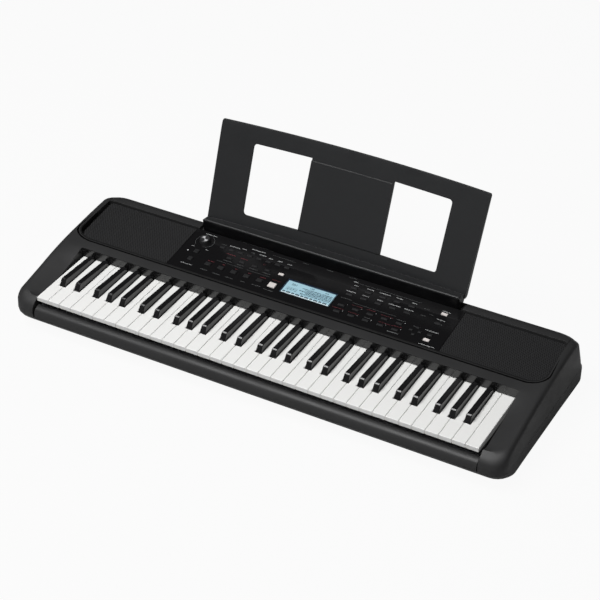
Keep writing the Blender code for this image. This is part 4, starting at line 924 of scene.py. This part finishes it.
def looks():
    """The material of each slot: moulded ones give colour, roughness, grain, edge and shine."""
    return {
        "case_plastic": case_material(),
        "panel_plastic": panel_material(),
        "white_key_plastic": white_key_material(),
        "black_key_plastic": moulded("black_keys", (0.009, 0.009, 0.0095), 0.17, 0.12, EDGE, 0.5),
        "rest_plastic": rest_material(),
        "button_rubber": moulded("button_rubber", (0.015, 0.015, 0.016), 0.50, 0.3),
        "pale_button_plastic": moulded("pale_button", (0.66, 0.62, 0.60), 0.40, 0.15),
        "dial_plastic": moulded("dial_moulding", (0.020, 0.020, 0.021), 0.32, 0.2),
        "display_lens": display_material(),
        "circuit_board": board_material(),
        "contact_steel": steel_material("contact_nickel", NICKEL),
        "soft_rubber": moulded("foot_rubber", (0.016, 0.016, 0.016), 0.75, 0.6, 0.0006),
        "frame_plastic": moulded("frame_moulding", (0.07, 0.07, 0.075), 0.5, 0.3),
        "speaker_black": cone_material(),
    }


def dress():
    """Gives every solid its material and smooth curves."""
    materials = looks()
    grille = grille_material()
    smooth, angle_input = smoothing_group()
    slots = {entry["node"]: entry["material_slot"] for entry in frame["record"]["subparts"]}
    for name, node in NODES.items():
        material = grille if name.startswith("speaker_grille") else materials[slots[name]]
        if not node.material_slots:
            node.data.materials.append(material)
        for slot in node.material_slots:
            slot.material = material
        modifier = node.modifiers.new("smooth_faces", "NODES")
        modifier.node_group = smooth
        if "black" in slots[name]:
            modifier[angle_input] = BLACK_KEY_SMOOTH_BELOW


# Camera, floor and light


def camera():
    """Looks down on the keyboard from the front right."""
    data = bpy.data.cameras.new("camera")
    data.sensor_width = 36.0
    data.lens = CAMERA_LENS
    data.clip_start = 0.05
    data.clip_end = 60.0
    obj = bpy.data.objects.new("camera", data)
    obj.location = CAMERA_PLACE
    obj.rotation_euler = (math.pi / 2 - CAMERA_DIP, 0.0, CAMERA_TURN)
    bpy.context.scene.collection.objects.link(obj)
    bpy.context.scene.camera = obj


def joined(tree, operation, a, b):
    """A math node on two sockets, or on a socket and a number."""
    made = tree.nodes.new("ShaderNodeMath")
    made.operation = operation
    tree.links.new(a, made.inputs[0])
    if isinstance(b, float):
        made.inputs[1].default_value = b
    else:
        tree.links.new(b, made.inputs[1])
    return made.outputs["Value"]


def floor_material():
    """Matt floor that glows for the camera, and a little for glossy and transmitted rays."""
    material = bpy.data.materials.new("floor_white")
    material.use_nodes = True
    tree = material.node_tree
    bsdf = tree.nodes["Principled BSDF"]
    bsdf.inputs["Base Color"].default_value = (*FLOOR_COLOUR, 1.0)
    bsdf.inputs["Roughness"].default_value = 0.9
    bsdf.inputs["Specular IOR Level"].default_value = 0.0
    glow = tree.nodes.new("ShaderNodeEmission")
    glow.inputs["Strength"].default_value = 1.0
    rays = tree.nodes.new("ShaderNodeLightPath").outputs
    seen = joined(tree, "MULTIPLY", rays["Is Camera Ray"], FLOOR_CAMERA_SHARE)
    through = joined(tree, "MAXIMUM", rays["Is Glossy Ray"], rays["Is Transmission Ray"])
    dimmed = joined(tree, "MULTIPLY", through, FLOOR_GLOSSY_SHARE)
    mix = tree.nodes.new("ShaderNodeMixShader")
    tree.links.new(joined(tree, "MAXIMUM", seen, dimmed), mix.inputs["Fac"])
    tree.links.new(bsdf.outputs["BSDF"], mix.inputs[1])
    tree.links.new(glow.outputs["Emission"], mix.inputs[2])
    tree.links.new(mix.outputs["Shader"], tree.nodes["Material Output"].inputs["Surface"])
    return material


def floor():
    """Pale floor that shows almost white to the camera and still takes a soft shadow."""
    bm = bmesh.new()
    bmesh.ops.create_circle(bm, cap_ends=True, segments=64, radius=FLOOR_RADIUS)
    mesh = bpy.data.meshes.new("floor")
    bm.to_mesh(mesh)
    bm.free()
    obj = bpy.data.objects.new("floor", mesh)
    obj.location.z = -FLOOR_DROP
    bpy.context.scene.collection.objects.link(obj)
    mesh.materials.append(floor_material())


def world():
    """White low down in front and on the left, dimmer overhead, behind and on the right."""
    made = bpy.data.worlds.new("studio")
    bpy.context.scene.world = made
    made.use_nodes = True
    tree = made.node_tree
    coords = tree.nodes.new("ShaderNodeTexCoord")
    parts = tree.nodes.new("ShaderNodeSeparateXYZ")
    tree.links.new(coords.outputs["Generated"], parts.inputs["Vector"])
    strength = None
    for axis, low, high, start, end in WORLD_FADES:
        fade = tree.nodes.new("ShaderNodeMapRange")
        fade.interpolation_type = "SMOOTHSTEP"
        for key, number in (("From Min", low), ("From Max", high), ("To Min", start), ("To Max", end)):
            fade.inputs[key].default_value = number
        tree.links.new(parts.outputs[axis], fade.inputs["Value"])
        light = fade.outputs["Result"]
        strength = light if strength is None else joined(tree, "MULTIPLY", strength, light)
    background = tree.nodes["Background"]
    background.inputs["Color"].default_value = (1.0, 1.0, 1.0, 1.0)
    tree.links.new(strength, background.inputs["Strength"])


def lights():
    """Soft rectangular lamps, each aimed at the keyboard."""
    for name, (azimuth, elevation), distance, (width, height), power in LAMPS:
        data = bpy.data.lights.new(name, "AREA")
        data.shape = "RECTANGLE"
        data.size = width
        data.size_y = height
        data.energy = power
        turn, rise = math.radians(azimuth), math.radians(elevation)
        level = math.cos(rise)
        away = Vector((math.sin(turn) * level, -math.cos(turn) * level, math.sin(rise)))
        obj = bpy.data.objects.new(name, data)
        obj.location = LAMP_TARGET + away * distance
        obj.rotation_euler = away.to_track_quat("Z", "Y").to_euler()
        bpy.context.scene.collection.objects.link(obj)


dress()
legends()
display()
dial_cap()
jack_sleeves()
case_screws()
socket_marks()
camera()
floor()
world()
lights()
bpy.context.scene.view_settings.view_transform = "Standard"
